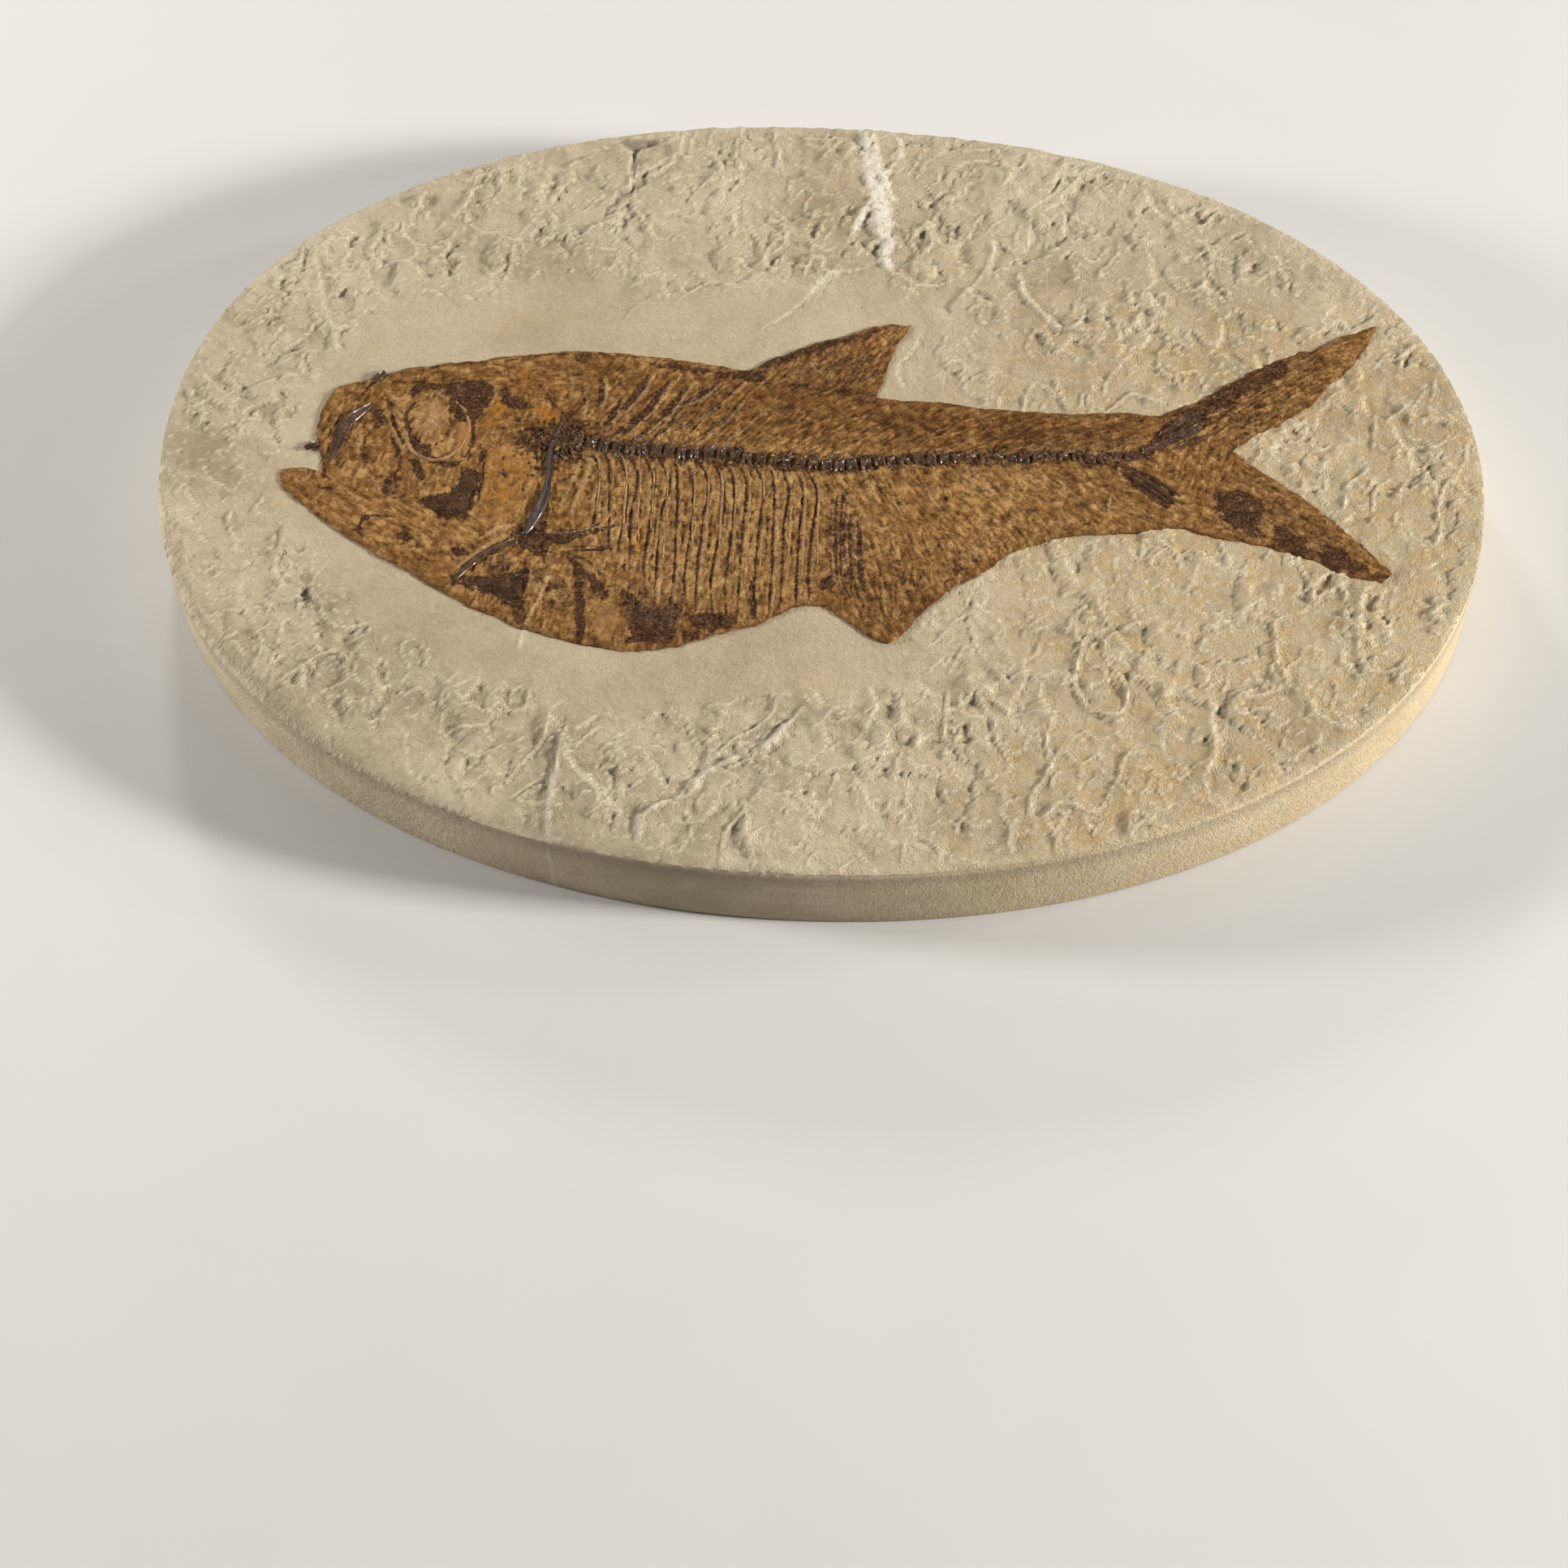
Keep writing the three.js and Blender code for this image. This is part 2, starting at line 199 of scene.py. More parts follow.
def choose(piece):
    deselectAll()
    piece.select_set(True)
    bpy.context.view_layer.objects.active = piece


# selects only these vertices, edges or polygons
def pick(piece, kind, mask):
    choose(piece)
    for group in (piece.data.vertices, piece.data.edges, piece.data.polygons):
        group.foreach_set("select", np.zeros(len(group), bool))
    getattr(piece.data, kind).foreach_set("select", mask)
    bpy.context.tool_settings.mesh_select_mode = (kind == "vertices", kind == "edges", kind == "polygons")
    bpy.ops.object.mode_set(mode="EDIT")


def read(group, name, width=1, kind=np.float32):
    values = np.zeros(len(group) * width, kind)
    group.foreach_get(name, values)
    return values.reshape(-1, width) if width > 1 else values


def openEdges(mesh):
    used = read(mesh.loops, "edge_index", kind=np.int32)
    return np.bincount(used, minlength=len(mesh.edges)) == 1


def openPoints(mesh):
    mask = np.zeros(len(mesh.vertices), bool)
    mask[read(mesh.edges, "vertices", 2, np.int32)[openEdges(mesh)].ravel()] = True
    return mask


# the nearest place on a closed outline for each point
def onOutline(points, outline):
    start, end = outline, np.roll(outline, -1, axis=0)
    run = end - start
    offset = points[:, None, :] - start[None]
    share = np.clip((offset * run).sum(axis=2) / ((run * run).sum(axis=1) + 1e-12), 0, 1)
    place = start[None] + share[..., None] * run[None]
    nearest = ((points[:, None, :] - place) ** 2).sum(axis=2).argmin(axis=1)
    return place[np.arange(len(points)), nearest]


# a fine grid trimmed to a closed outline, its cut edge drawn onto the line
# a hidden part becomes one plain face
def cutSheet(name, outline, spacing, hidden=None):
    low, high = outline.min(axis=0), outline.max(axis=0)
    middle, size = (low + high) / 2, high - low
    columns, rows = (int(round(side / spacing)) for side in size)
    deselectAll()
    bpy.ops.mesh.primitive_grid_add(x_subdivisions=columns, y_subdivisions=rows, size=1,
                                    location=(middle[0] * mm, middle[1] * mm, 0))
    sheet = bpy.context.object
    sheet.name = sheet.data.name = name
    sheet.scale = (size[0] * mm, size[1] * mm, 1)
    bpy.ops.object.transform_apply(location=True, rotation=False, scale=True)
    centres = read(sheet.data.polygons, "center", 3)[:, :2] / mm
    pick(sheet, "polygons", ~insideOutline(centres, outline))
    bpy.ops.mesh.delete(type="FACE")
    bpy.ops.object.mode_set(mode="OBJECT")
    if hidden:
        pick(sheet, "polygons", hidden(read(sheet.data.polygons, "center", 3)[:, :2] / mm))
        bpy.ops.mesh.dissolve_faces(use_verts=False)
        bpy.ops.object.mode_set(mode="OBJECT")
    places = read(sheet.data.vertices, "co", 3)
    rim = np.flatnonzero(openPoints(sheet.data))
    places[rim, :2] = onOutline(places[rim, :2] / mm, outline) * mm
    sheet.data.vertices.foreach_set("co", places.ravel())
    onRim = np.zeros(len(places), bool)
    onRim[rim] = True
    pick(sheet, "vertices", onRim)
    bpy.ops.mesh.remove_doubles(threshold=spacing * 0.12 * mm)
    bpy.ops.object.mode_set(mode="OBJECT")
    return sheet


def groundPoints(sheet):
    return read(sheet.data.vertices, "co", 3)[:, :2] / mm


def setHeights(sheet, heights):
    places = read(sheet.data.vertices, "co", 3)
    places[:, 2] = heights * mm
    sheet.data.vertices.foreach_set("co", places.ravel())
    sheet.data.update()


# pulls the open edge of a sheet down through flat rings and closes the bottom
# a ring is its height, then its width and depth as shares of the ring before
def dropSides(sheet, rings, centre=(0, 0)):
    pick(sheet, "edges", openEdges(sheet.data))
    for height, across, deep in rings:
        pivot = (centre[0] * mm, centre[1] * mm, height * mm)
        bpy.ops.mesh.extrude_edges_move()
        bpy.ops.transform.resize(value=(across, deep, 0), center_override=pivot)
    bpy.ops.mesh.edge_face_add()
    bpy.ops.mesh.select_all(action="SELECT")
    bpy.ops.mesh.normals_make_consistent(inside=False)
    bpy.ops.object.mode_set(mode="OBJECT")


def smoothFaces(piece, angle=40):
    choose(piece)
    bpy.ops.object.shade_smooth_by_angle(angle=math.radians(angle))


# a rod pulled along rows of x, y and half width, flattened onto the skin; top is how high its back stands
def pullBone(name, rows, top, seat=22.9, sides=10, step=1.1):
    line = curveThrough(rows, step)
    turns = np.unwrap(np.arctan2(np.gradient(line[:, 1]), np.gradient(line[:, 0])))
    deselectAll()
    bpy.ops.mesh.primitive_circle_add(vertices=sides, radius=line[0, 2] * mm, fill_type="NGON",
                                      location=(line[0, 0] * mm, line[0, 1] * mm, seat * mm),
                                      rotation=(0, math.pi / 2, turns[0]))
    bone = bpy.context.object
    bone.name = bone.data.name = name
    bpy.ops.object.transform_apply(location=True, rotation=True, scale=True)
    bpy.ops.object.mode_set(mode="EDIT")
    bpy.ops.mesh.select_all(action="SELECT")
    for index in range(1, len(line)):
        shift = line[index] - line[index - 1]
        place = (line[index, 0] * mm, line[index, 1] * mm, seat * mm)
        bpy.ops.mesh.extrude_region_move(TRANSFORM_OT_translate={"value": (shift[0] * mm, shift[1] * mm, 0)})
        bpy.ops.transform.rotate(value=turns[index - 1] - turns[index], orient_axis="Z",
                                 center_override=place)
        bpy.ops.transform.resize(value=(line[index, 2] / line[index - 1, 2],) * 3, center_override=place)
    bpy.ops.mesh.select_all(action="SELECT")
    flat = (top - seat) / line[:, 2].max()
    bpy.ops.transform.resize(value=(1, 1, flat), center_override=(0, 0, seat * mm))
    bpy.ops.mesh.normals_make_consistent(inside=False)
    bpy.ops.object.mode_set(mode="OBJECT")
    return bone


def finishBone(piece, grain=0.12, size=1.2, levels=1):
    choose(piece)
    if levels:
        rounded = piece.modifiers.new("rounded", "SUBSURF")
        rounded.levels = rounded.render_levels = levels
        bpy.ops.object.modifier_apply(modifier="rounded")
    if grain:
        texture = bpy.data.textures.new(piece.name + "Grain", "CLOUDS")
        texture.noise_scale = size * mm
        rough = piece.modifiers.new("rough", "DISPLACE")
        rough.texture = texture
        rough.texture_coords = "LOCAL"
        rough.strength = grain * 2 * mm
        rough.mid_level = 0.5
        bpy.ops.object.modifier_apply(modifier="rough")
    smoothFaces(piece, 55)


def joinAll(pieces, name):
    deselectAll()
    for piece in pieces:
        piece.select_set(True)
    bpy.context.view_layer.objects.active = pieces[0]
    bpy.ops.object.join()
    bpy.context.object.name = bpy.context.object.data.name = name
    return bpy.context.object


# thin rods in one piece; each is rows of x, y, height and radius
def threadRods(name, rods, sides=2, flat=0.7):
    curve = bpy.data.curves.new(name, "CURVE")
    curve.dimensions = "3D"
    curve.bevel_depth = mm
    curve.bevel_resolution = sides
    curve.use_fill_caps = True
    for rows in rods:
        line = curveThrough(rows, 1.3)
        spline = curve.splines.new("POLY")
        spline.points.add(len(line) - 1)
        for point, row in zip(spline.points, line):
            point.co = (row[0] * mm, row[1] * mm, row[2] * mm, 1)
            point.radius = max(row[3], 0.03)
    piece = bpy.data.objects.new(name, curve)
    bpy.context.collection.objects.link(piece)
    choose(piece)
    bpy.ops.object.convert(target="MESH")
    piece = bpy.context.object
    smoothFaces(piece, 60)
    return piece


# shader maths

# wraps a socket, so that sums on sockets read as sums and add their Math nodes
class Wire:
    def __init__(self, tree, socket=None):
        self.tree = tree
        self.socket = socket

    # any node: its type, its settings, the values or links of its sockets, and which output is wanted
    def node(self, kind, settings=None, sockets=None, out=0):
        made = self.tree.nodes.new("ShaderNode" + kind)
        for name, value in (settings or {}).items():
            if name == "stops":
                ramp = made.color_ramp.elements
                while len(ramp) < len(value):
                    ramp.new(0.5)
                for stop, (place, colour) in zip(ramp, value):
                    stop.position = place
                    stop.color = (*colour, 1)
            else:
                setattr(made, name, value)
        for name, value in (sockets or {}).items():
            if isinstance(value, Wire):
                self.tree.links.new(value.socket, made.inputs[name])
            else:
                made.inputs[name].default_value = value
        return Wire(self.tree, made.outputs[out] if made.outputs else None)

    def sum(self, operation, first, second=0.0, clamp=False):
        return self.node("Math", {"operation": operation, "use_clamp": clamp}, {0: first, 1: second})

    def __add__(self, other):
        return self.sum("ADD", self, other)

    def __radd__(self, other):
        return self.sum("ADD", other, self)

    def __sub__(self, other):
        return self.sum("SUBTRACT", self, other)

    def __rsub__(self, other):
        return self.sum("SUBTRACT", other, self)

    def __mul__(self, other):
        return self.sum("MULTIPLY", self, other)

    def __rmul__(self, other):
        return self.sum("MULTIPLY", other, self)

    def clamped(self):
        return self.sum("ADD", self, 0.0, clamp=True)

    # 0 below low and 1 above high, eased between
    def between(self, low, high):
        sockets = {"Value": self, "From Min": low, "From Max": high}
        return self.node("MapRange", {"interpolation_type": "SMOOTHSTEP"}, sockets)


# a colour with another laid over it by a factor
def over(factor, under, upper):
    sockets = {0: factor, 6: under, 7: upper}
    for key in (6, 7):
        if not isinstance(sockets[key], Wire):
            sockets[key] = (*sockets[key], 1)
    return factor.node("Mix", {"data_type": "RGBA", "blend_type": "MIX"}, sockets, 2)


def startMaterial(name):
    material = bpy.data.materials.new(name)
    material.use_nodes = True
    material.node_tree.nodes.clear()
    return material, Wire(material.node_tree)


def layer(wire, name):
    return wire.node("Attribute", {"attribute_name": name}, {}, "Fac")


# a texture's sockets, for a pattern of one size in mm
def fitted(place, size, **others):
    return {"Vector": place, "Scale": 1 / (size * mm), **others}


# grain of one size; rough adds finer grain to it
def grain(wire, place, size, rough=0.5, detail=3.0, warp=0.0):
    sockets = fitted(place, size, Detail=detail, Roughness=rough, Distortion=warp)
    return wire.node("TexNoise", {"noise_dimensions": "3D"}, sockets)


# a place pushed about by noise, so that edges wander
def bent(wire, place, size, push):
    shove = wire.node("TexNoise", {"noise_dimensions": "3D"}, fitted(place, size, Detail=4.0), "Color")
    return wire.node("VectorMath", {"operation": "MULTIPLY_ADD"}, {0: shove, 1: (push * mm,) * 3, 2: place})


# flat flakes with sharp edges, each at its own level
def flakes(wire, place, size):
    tint = wire.node("TexVoronoi", {"voronoi_dimensions": "2D", "feature": "F1"}, fitted(place, size),
                     "Color")
    return wire.node("SeparateColor", {}, {0: tint}, 0)


def seams(wire, place, size):
    settings = {"voronoi_dimensions": "2D", "feature": "DISTANCE_TO_EDGE"}
    return wire.node("TexVoronoi", settings, fitted(place, size), "Distance")


# thin lines where a grain crosses its middle value: 1 on the line
def creases(value, width):
    return value.node("Math", {"operation": "ABSOLUTE"}, {0: value - 0.5}).between(width, 0.0)


# the object's own place, turned and squeezed
def stretched(wire, turn=0, squeeze=(1, 1, 1), shift=(0, 0, 0)):
    place = wire.node("TexCoord", {}, {}, "Object")
    return wire.node("Mapping", {"vector_type": "POINT"},
                     {"Vector": place, "Rotation": (0, 0, math.radians(turn)), "Scale": squeeze,
                      "Location": shift})


def finishMaterial(wire, material, colour, rough, height, depth, coat=0.0, coatRough=0.3, level=0.5):
    bump = wire.node("Bump", {}, {"Height": height, "Distance": depth * mm, "Strength": 1.0})
    shader = wire.node("BsdfPrincipled", {}, {
        "Base Color": colour, "Roughness": rough, "Normal": bump,
        "Coat Weight": coat, "Coat Roughness": coatRough, "Specular IOR Level": level})
    wire.node("OutputMaterial", {}, {"Surface": shader})
    return material


# the camera

camera = {
    "target": (-0.98, -78.28, 0),  # the middle of the view on the floor
    "distance": 1500,
    "elevation": 52.0,
    "turn": 7.905,
    "roll": -2.704,
    "lens": 140.94,
}


def makeCamera():
    up, turn, roll = (math.radians(camera[key]) for key in ("elevation", "turn", "roll"))
    back = Vector((math.sin(turn) * math.cos(up), -math.cos(turn) * math.cos(up), math.sin(up)))
    right = Vector((math.cos(turn), math.sin(turn), 0))
    above = right.cross(-back)
    across = right * math.cos(roll) + above * math.sin(roll)
    above = above * math.cos(roll) - right * math.sin(roll)
    data = bpy.data.cameras.new("camera")
    data.lens = camera["lens"]
    data.sensor_width = 36
    made = bpy.data.objects.new("camera", data)
    place = (Vector(camera["target"]) + back * camera["distance"]) * mm
    made.matrix_world = Matrix.Translation(place) @ Matrix((across, above, back)).transposed().to_4x4()
    bpy.context.collection.objects.link(made)
    bpy.context.scene.camera = made


makeCamera()
print("camera set")


# the fish's outline

# in the fish's own mm, from the snout on the left to the tail on the right; corners lie between stretches
fishStretches = [
    [(-124.6, -7), (-125.1, -3.5), (-126.3, 0.5), (-127.8, 7), (-127.4, 14), (-124.3, 21), (-118.5, 23.8),
     (-113, 26.4)],
    [(-113, 26.4), (-102, 30.3), (-90, 33), (-78, 35.6), (-66, 37.8), (-50, 37.6), (-36, 36.6),
     (-21.2, 34.4)],
    [(-21.2, 34.4), (-12, 41.2), (0, 47.3), (11, 52.4), (18.3, 53)],
    [(18.3, 53), (15.2, 45), (12.8, 34.5), (11.6, 27.6)],
    [(11.6, 27.6), (28, 27.3), (44, 26.2), (58, 26), (74, 27.2), (83.2, 26.8)],
    [(83.2, 26.8), (95, 35), (105, 43.5), (118, 51.8)],
    [(119.6, 51.2), (128, 57.5), (135.6, 61)],
    [(135.6, 61), (133, 53), (127.5, 44), (118, 31), (108, 22.8), (101.5, 17)],
    [(101.5, 17), (115, 6.5), (124, -0.5), (136, -12.5), (143.6, -20.5)],
    [(140.8, -23.2), (132, -21.2), (123, -17), (112, -13.5), (98, -11.2), (91, -9)],
    [(91, -9), (78, -12), (66, -13.2), (52, -18.8), (42, -28), (35.5, -33.2), (29.5, -41), (24.8, -49)],
    [(22.3, -51.4), (20.3, -51.4), (12, -46), (5.5, -40.6)],
    [(5.5, -40.6), (-2.5, -41.8), (-8, -46.2), (-16.5, -50.2), (-30, -56.2), (-41, -58.4),
     (-53, -57.6), (-69, -53.2)],
    [(-69, -53.2), (-85.5, -45.4), (-101, -36), (-115, -27.5), (-130, -16.2)],
    [(-130, -16.2), (-134.3, -11), (-134.2, -7.2), (-130, -6.2), (-124.6, -7)],
]


def boxOf(node):
    low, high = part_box(node)
    return np.array(low) / mm, np.array(high) / mm


def fishOutline():
    line = np.vstack([curveThrough(stretch, 0.6)[:-1] for stretch in fishStretches])[::-1]
    # the edge is a little frayed
    run = np.roll(line, -1, axis=0) - np.roll(line, 1, axis=0)
    off = np.column_stack([run[:, 1], -run[:, 0]]) / np.linalg.norm(run, axis=1)[:, None]
    fray = 0.42 * noiseField(*line[:, :2].T, 1.5, 2.7) + 0.55 * noiseField(*line[:, :2].T, 4.5, 6.3)
    return line + off * fray[:, None]


# the fish lies where the frame's own fish film is
filmLow, filmHigh = boxOf("fish_film")
fishLine = fishOutline()
fishPlace = ((filmLow + filmHigh)[:2] - fishLine.min(axis=0) - fishLine.max(axis=0)) / 2
slabLow, slabHigh = boxOf("matrix_slab")
print("fish placed at", fishPlace)


# the limestone slab

slab = {
    "halfLength": 165,
    "halfWidth": 122.4,
    "ovalPower": 2.1,  # 2 is an ellipse, more is squarer
    "faceHeight": 22.25,
    "underFilm": 22.45,  # the ground is no higher than this under the fish
    "undercut": 2.3,  # how far the foot stands in from the face
    "baseEase": 0.6,
    "spacing": 0.8,
    "bumps": 0.5,  # height of the small bumps on the rough ground
    "flakes": 0.75,  # height of the flake edges
    "flakeCount": 430,
    "scraped": (9, 24),
     # the ground is scraped smooth this near the fish, and rough from the second distance on
    "seed": 11,
    "shadeTone": (0.31, 0.246, 0.152),
    "stoneTone": (0.450, 0.366, 0.238),
    "paleTone": (0.57, 0.478, 0.330),
    "scrapedTone": (0.485, 0.396, 0.255),
    "ochreTone": (0.46, 0.305, 0.116),
    "whiteTone": (0.84, 0.79, 0.68),
}


def slabOutline():
    turn = np.linspace(-math.pi, math.pi, 1200, endpoint=False)
    across, deep = np.cos(turn), np.sin(turn)
    x = slab["halfLength"] * np.sign(across) * np.abs(across) ** (2 / slab["ovalPower"])
    y = slab["halfWidth"] * np.sign(deep) * np.abs(deep) ** (2 / slab["ovalPower"])
    around, reach = np.arctan2(y, x), np.hypot(x, y)
    swell = 1.6 * np.exp(-((np.mod(around - 2.75 + math.pi, 2 * math.pi) - math.pi) / 0.3) ** 2)
    waver = 0.5 * np.cos(3 * around - 1.2) + 0.45 * np.cos(2 * around + 0.55)
    line = np.column_stack([x, y]) * ((reach + waver + swell) / reach)[:, None]
    low, high = line.min(axis=0), line.max(axis=0)
    share = (slabHigh - slabLow)[:2] / (high - low)
    return (line - (low + high) / 2) * share + (slabLow + slabHigh)[:2] / 2


def shapeStone(ground, rim, away):
    x, y = ground.x, ground.y
    lift = ground.layers["lift"]
    rand = random.Random(slab["seed"])
    # scraped smooth beside the head and the back, rough right up to the fish on the right
    scraped = away + 7 * noiseField(x, y, 15, 1.5)
    scraped += 24 * smoothStep(5, 50, x) + 16 * smoothStep(-116, -140, x)
    scraped -= 12 * np.exp(-((x + 55) / 62) ** 2 - ((y - 50) / 20) ** 2)
    scraped -= 8 * np.exp(-(x / 45) ** 2 - ((y + 62) / 16) ** 2)
    rough = smoothStep(*slab["scraped"], scraped)
    ground.layers["bare"] = 1 - rough
    right = smoothStep(-60, 70, x)
    # slow swells, then chips, knobs and fine grit
    lift += 0.35 * noiseField(x, y, 46, 7.1) + 0.16 * noiseField(x, y, 17, 2.3)
    wander = 2.2 * noiseField(x, y, 9, 12.5)
    ripple = 0.9 * noiseField(x, y, 2.6, 18.2)
    middling = noiseField(x - wander, y + wander, 4.6, 8.8, 1.3)
    fine = noiseField(x, y, 1.5, 5.7, 1.3)
    flaked = chips(x + wander + ripple, (y - wander + ripple) * 0.85, 9, 0.3, 0.35)
    chipped = chips(x - ripple, (y + ripple) * 0.8, 3.8, 5.2)
    relief = flaked * 0.8 + chipped * 0.45 + middling * 0.9
    relief = np.where(relief < 0, relief * 0.35, relief) * rough * (1.2 - 0.3 * right)
    relief += (fine * 0.6 + middling * 0.5) * (0.5 + 0.2 * rough)
    relief += 1.3 * rough * crests(x + wander, y, 11, 41.3, 0.07)
    relief += 0.9 * rough * crests(x, y - wander, 5.5, 52.9, 0.11)
    lift += slab["bumps"] * relief
    # layered breaks that follow the bedding
    bedding = noiseField(x + 1.6 * wander, y + wander, 33, 15.1, 1.2) * 3.2 + 0.45 * middling + 0.2 * fine
    step = np.floor(bedding) + smoothStep(0.44, 0.56, bedding - np.floor(bedding))
    patchy = smoothStep(-0.15, 0.2, noiseField(x, y, 24, 20.1))
    lift += 0.6 * (0.05 + rough) * patchy * (step - bedding)
    # loose flake edges
    for _ in range(slab["flakeCount"]):
        startX, startY = rand.uniform(-160, 160), rand.uniform(-118, 118)
        length, lean, bow = rand.uniform(4, 17), rand.gauss(math.pi / 2, 1.1), rand.uniform(-0.7, 0.7)
        height, fade = rand.uniform(0.3, 1.0) * (1.25 if startX < 0 else 1), rand.uniform(2.2, 7)
        side = 1 if rand.random() < 0.8 else -1
        rows = []
        for share in (-0.5, -0.25, 0, 0.25, 0.5):
            reach = share * length * side
            off = bow * length * (0.25 - share * share) * 2 + rand.uniform(-0.9, 0.9)
            rows.append((startX + reach * math.cos(lean) - off * math.sin(lean),
                         startY + reach * math.sin(lean) + off * math.cos(lean)))
        ground.ledge(rows, slab["flakes"] * height, fade, mask=rough)
    handWork(ground)
    lift *= 0.4 + 0.6 * smoothStep(0, 5, rim)
    # the rim: crisp, but worn round at the left front
    around = np.arctan2(y, x)
    worn = np.exp(-((around + 2.35) / 0.62) ** 2)
    width = 1.0 + 7.5 * worn
    drop = 0.55 + 2.6 * worn
    down = np.clip(1 - rim / width, 0, 1)
    lift *= 1 - 0.75 * worn * smoothStep(0, 1, 1 - rim / 14)
    lift -= drop * (1 - np.sqrt(np.maximum(1 - down * down, 0)))


# the breaks, cracks and stains that stand out one by one
def handWork(ground):
    white = {"white": 1.0, "lift": 0.45}
    ground.line([(0, 121, 0.6), (2, 114, 1.8), (4.2, 106, 2.2), (6.5, 98, 2.4), (8, 90, 2.6), (10, 82, 2.2),
                 (10.6, 74, 0.9)], soft=0.8, ragged=0.9, **white)
    ground.line([(3, 120, 0.3), (5, 112, 0.8), (7.5, 104, 0.9), (10.6, 97, 0.4)], soft=0.5, ragged=0.5,
                **white)
    ground.line([(10, 119, 0.4), (11, 113, 0.6), (8.6, 108, 0.5), (7, 103, 0.3)], soft=0.5, ragged=0.5,
                **white)
    ground.line([(1, 84, 0.3), (3, 92, 0.8), (5, 97, 0.5)], soft=0.5, ragged=0.5, **white)
    # the notch in the back edge and the crack that runs on from it
    ground.patch([(-63, 114), (-60, 110), (-58.6, 106), (-57, 110), (-53, 114)], lift=-1.3, dark=0.9)
    ground.line([(-58.6, 108, 0.7), (-58, 102, 0.45), (-57.6, 96, 0.35), (-57.4, 90, 0.3), (-58.6, 84, 0.1)],
                soft=0.3, lift=-0.45, dark=0.7)
    ground.ledge([(-36, 118), (-35.6, 110), (-37, 103), (-41, 96), (-44, 90)], 0.5, 3.5)
    ground.ledge([(-50, 98.5), (-45, 101), (-39, 103)], 0.5, 3)
    ground.ledge([(-62, 108), (-59, 100), (-58, 92), (-58.6, 84)], 0.35, 4)
    ground.ledge([(-66, 107), (-68, 100), (-63, 95), (-60, 100)], 0.35, 3)
    # a smooth lobe above the back
    ground.ledge([(-14, 68), (-26, 66), (-38, 62), (-48, 59), (-53, 54), (-55, 48), (-55.4, 41)], 0.35, 5)
    ground.ledge([(-22, 48), (-14, 54), (-8, 62), (-3, 70), (4, 72), (11, 76)], 0.55, 4.5)
    ground.line([(-8, 63, 0.5), (-5, 68, 1.2), (-1, 71, 0.8)], soft=0.9, white=0.3, lift=0.1)
    # the lobe with a turned-up edge at the upper right
    ground.line([(44.6, 74, 0.3), (46.6, 66.6, 0.8), (51, 61.6, 0.7), (56, 56.4, 0.9), (60.6, 56.6, 0.6),
                 (62.4, 61, 0.3)], soft=0.6, lift=0.6, white=0.2)
    ground.line([(37.4, 85, 0.5), (37, 77, 0.7), (34, 70, 0.5), (30, 63.6, 0.6), (28.6, 60, 0.3)],
                soft=0.5, lift=0.4, ochre=0.4)
    for rows, height in (
            ([(54, 112), (52, 107), (50.6, 101)], 0.8), ([(54.6, 98), (55.6, 91), (54.6, 85)], 0.7),
            ([(75, 107), (76.6, 101), (79, 96.6)], 0.7), ([(93.6, 81), (92.4, 74), (95, 68.4)], 0.8),
            ([(70, 62), (71.6, 57), (73, 50), (71, 45)], 0.7), ([(79, 70), (79.4, 65), (82, 62)], 0.6),
            ([(96, 64), (98, 58), (97, 52), (93, 47)], 0.6),
            ([(97.6, 44), (95, 38), (92.6, 33), (91, 28)], 0.6),
            ([(22, 54), (21, 47), (17, 39), (20, 31)], 0.55), ([(140.6, 62), (139, 56), (141.6, 51)], 0.6),
            ([(127, 70), (124.6, 66), (123, 60)], 0.4),
            ([(141.6, 34), (143, 27), (146.6, 20), (148, 13)], 0.7),
            ([(137, -32), (137.6, -38), (136.8, -44.6)], 1.0),
            ([(142.8, -23), (141.6, -30), (144.6, -40)], 0.7),
            ([(104.6, -60), (103, -68), (104, -78), (102.4, -86), (104, -93)], 0.9),
            ([(56, -50), (56.6, -60), (54, -68), (55.6, -76)], 0.6),
            ([(43, -58), (44.6, -64), (41, -70)], 0.8), ([(19, -63), (21.6, -70), (20, -79)], 0.8),
            ([(72, -28), (74, -36), (78, -43), (83, -49)], 0.5),
            ([(-100, -63), (-101, -70), (-98.6, -77), (-100, -83)], 0.6),
            ([(-119, -53), (-117, -59), (-115, -65)], 0.55), ([(-120, -66), (-118, -74), (-115, -83)], 0.5),
            ([(-91, -86), (-90, -93), (-89, -99)], 0.5), ([(-72, -96), (-69.6, -91), (-67.6, -88)], 0.6),
            ([(-158, -8), (-156, -16), (-152, -21)], 0.5), ([(-132, -58), (-129, -64), (-124, -66)], 0.4),
            ([(-137, 68), (-134, 60), (-132, 52), (-129, 45)], 0.9),
            ([(-138, 30), (-138, 25), (-135.6, 20)], 0.5), ([(-151, 50), (-149, 44), (-147.6, 40)], 0.5)):
        ground.ledge(rows[::-1], height, 4.5)
    # chips in the rim at the upper left
    for x, y, wide in ((-99, 88, 2.4), (-98.6, 81, 1.6), (-112, 84, 2.6), (-111, 89, 1.6), (-117, 76, 2.2),
                       (-121, 71, 2), (-119, 67, 1.5), (-133, 71, 1.8), (-128, 66, 1.5), (-140, 61, 1.8),
                       (-141, 54, 1.8), (-144, 57, 1.2)):
        ground.ledge([(x + 0.4 * wide, y - 2.4 * wide), (x - 0.5 * wide, y - 0.8 * wide),
                      (x + 0.3 * wide, y + 0.9 * wide), (x - 0.2 * wide, y + 2.4 * wide)], 0.75, 1.6 * wide)
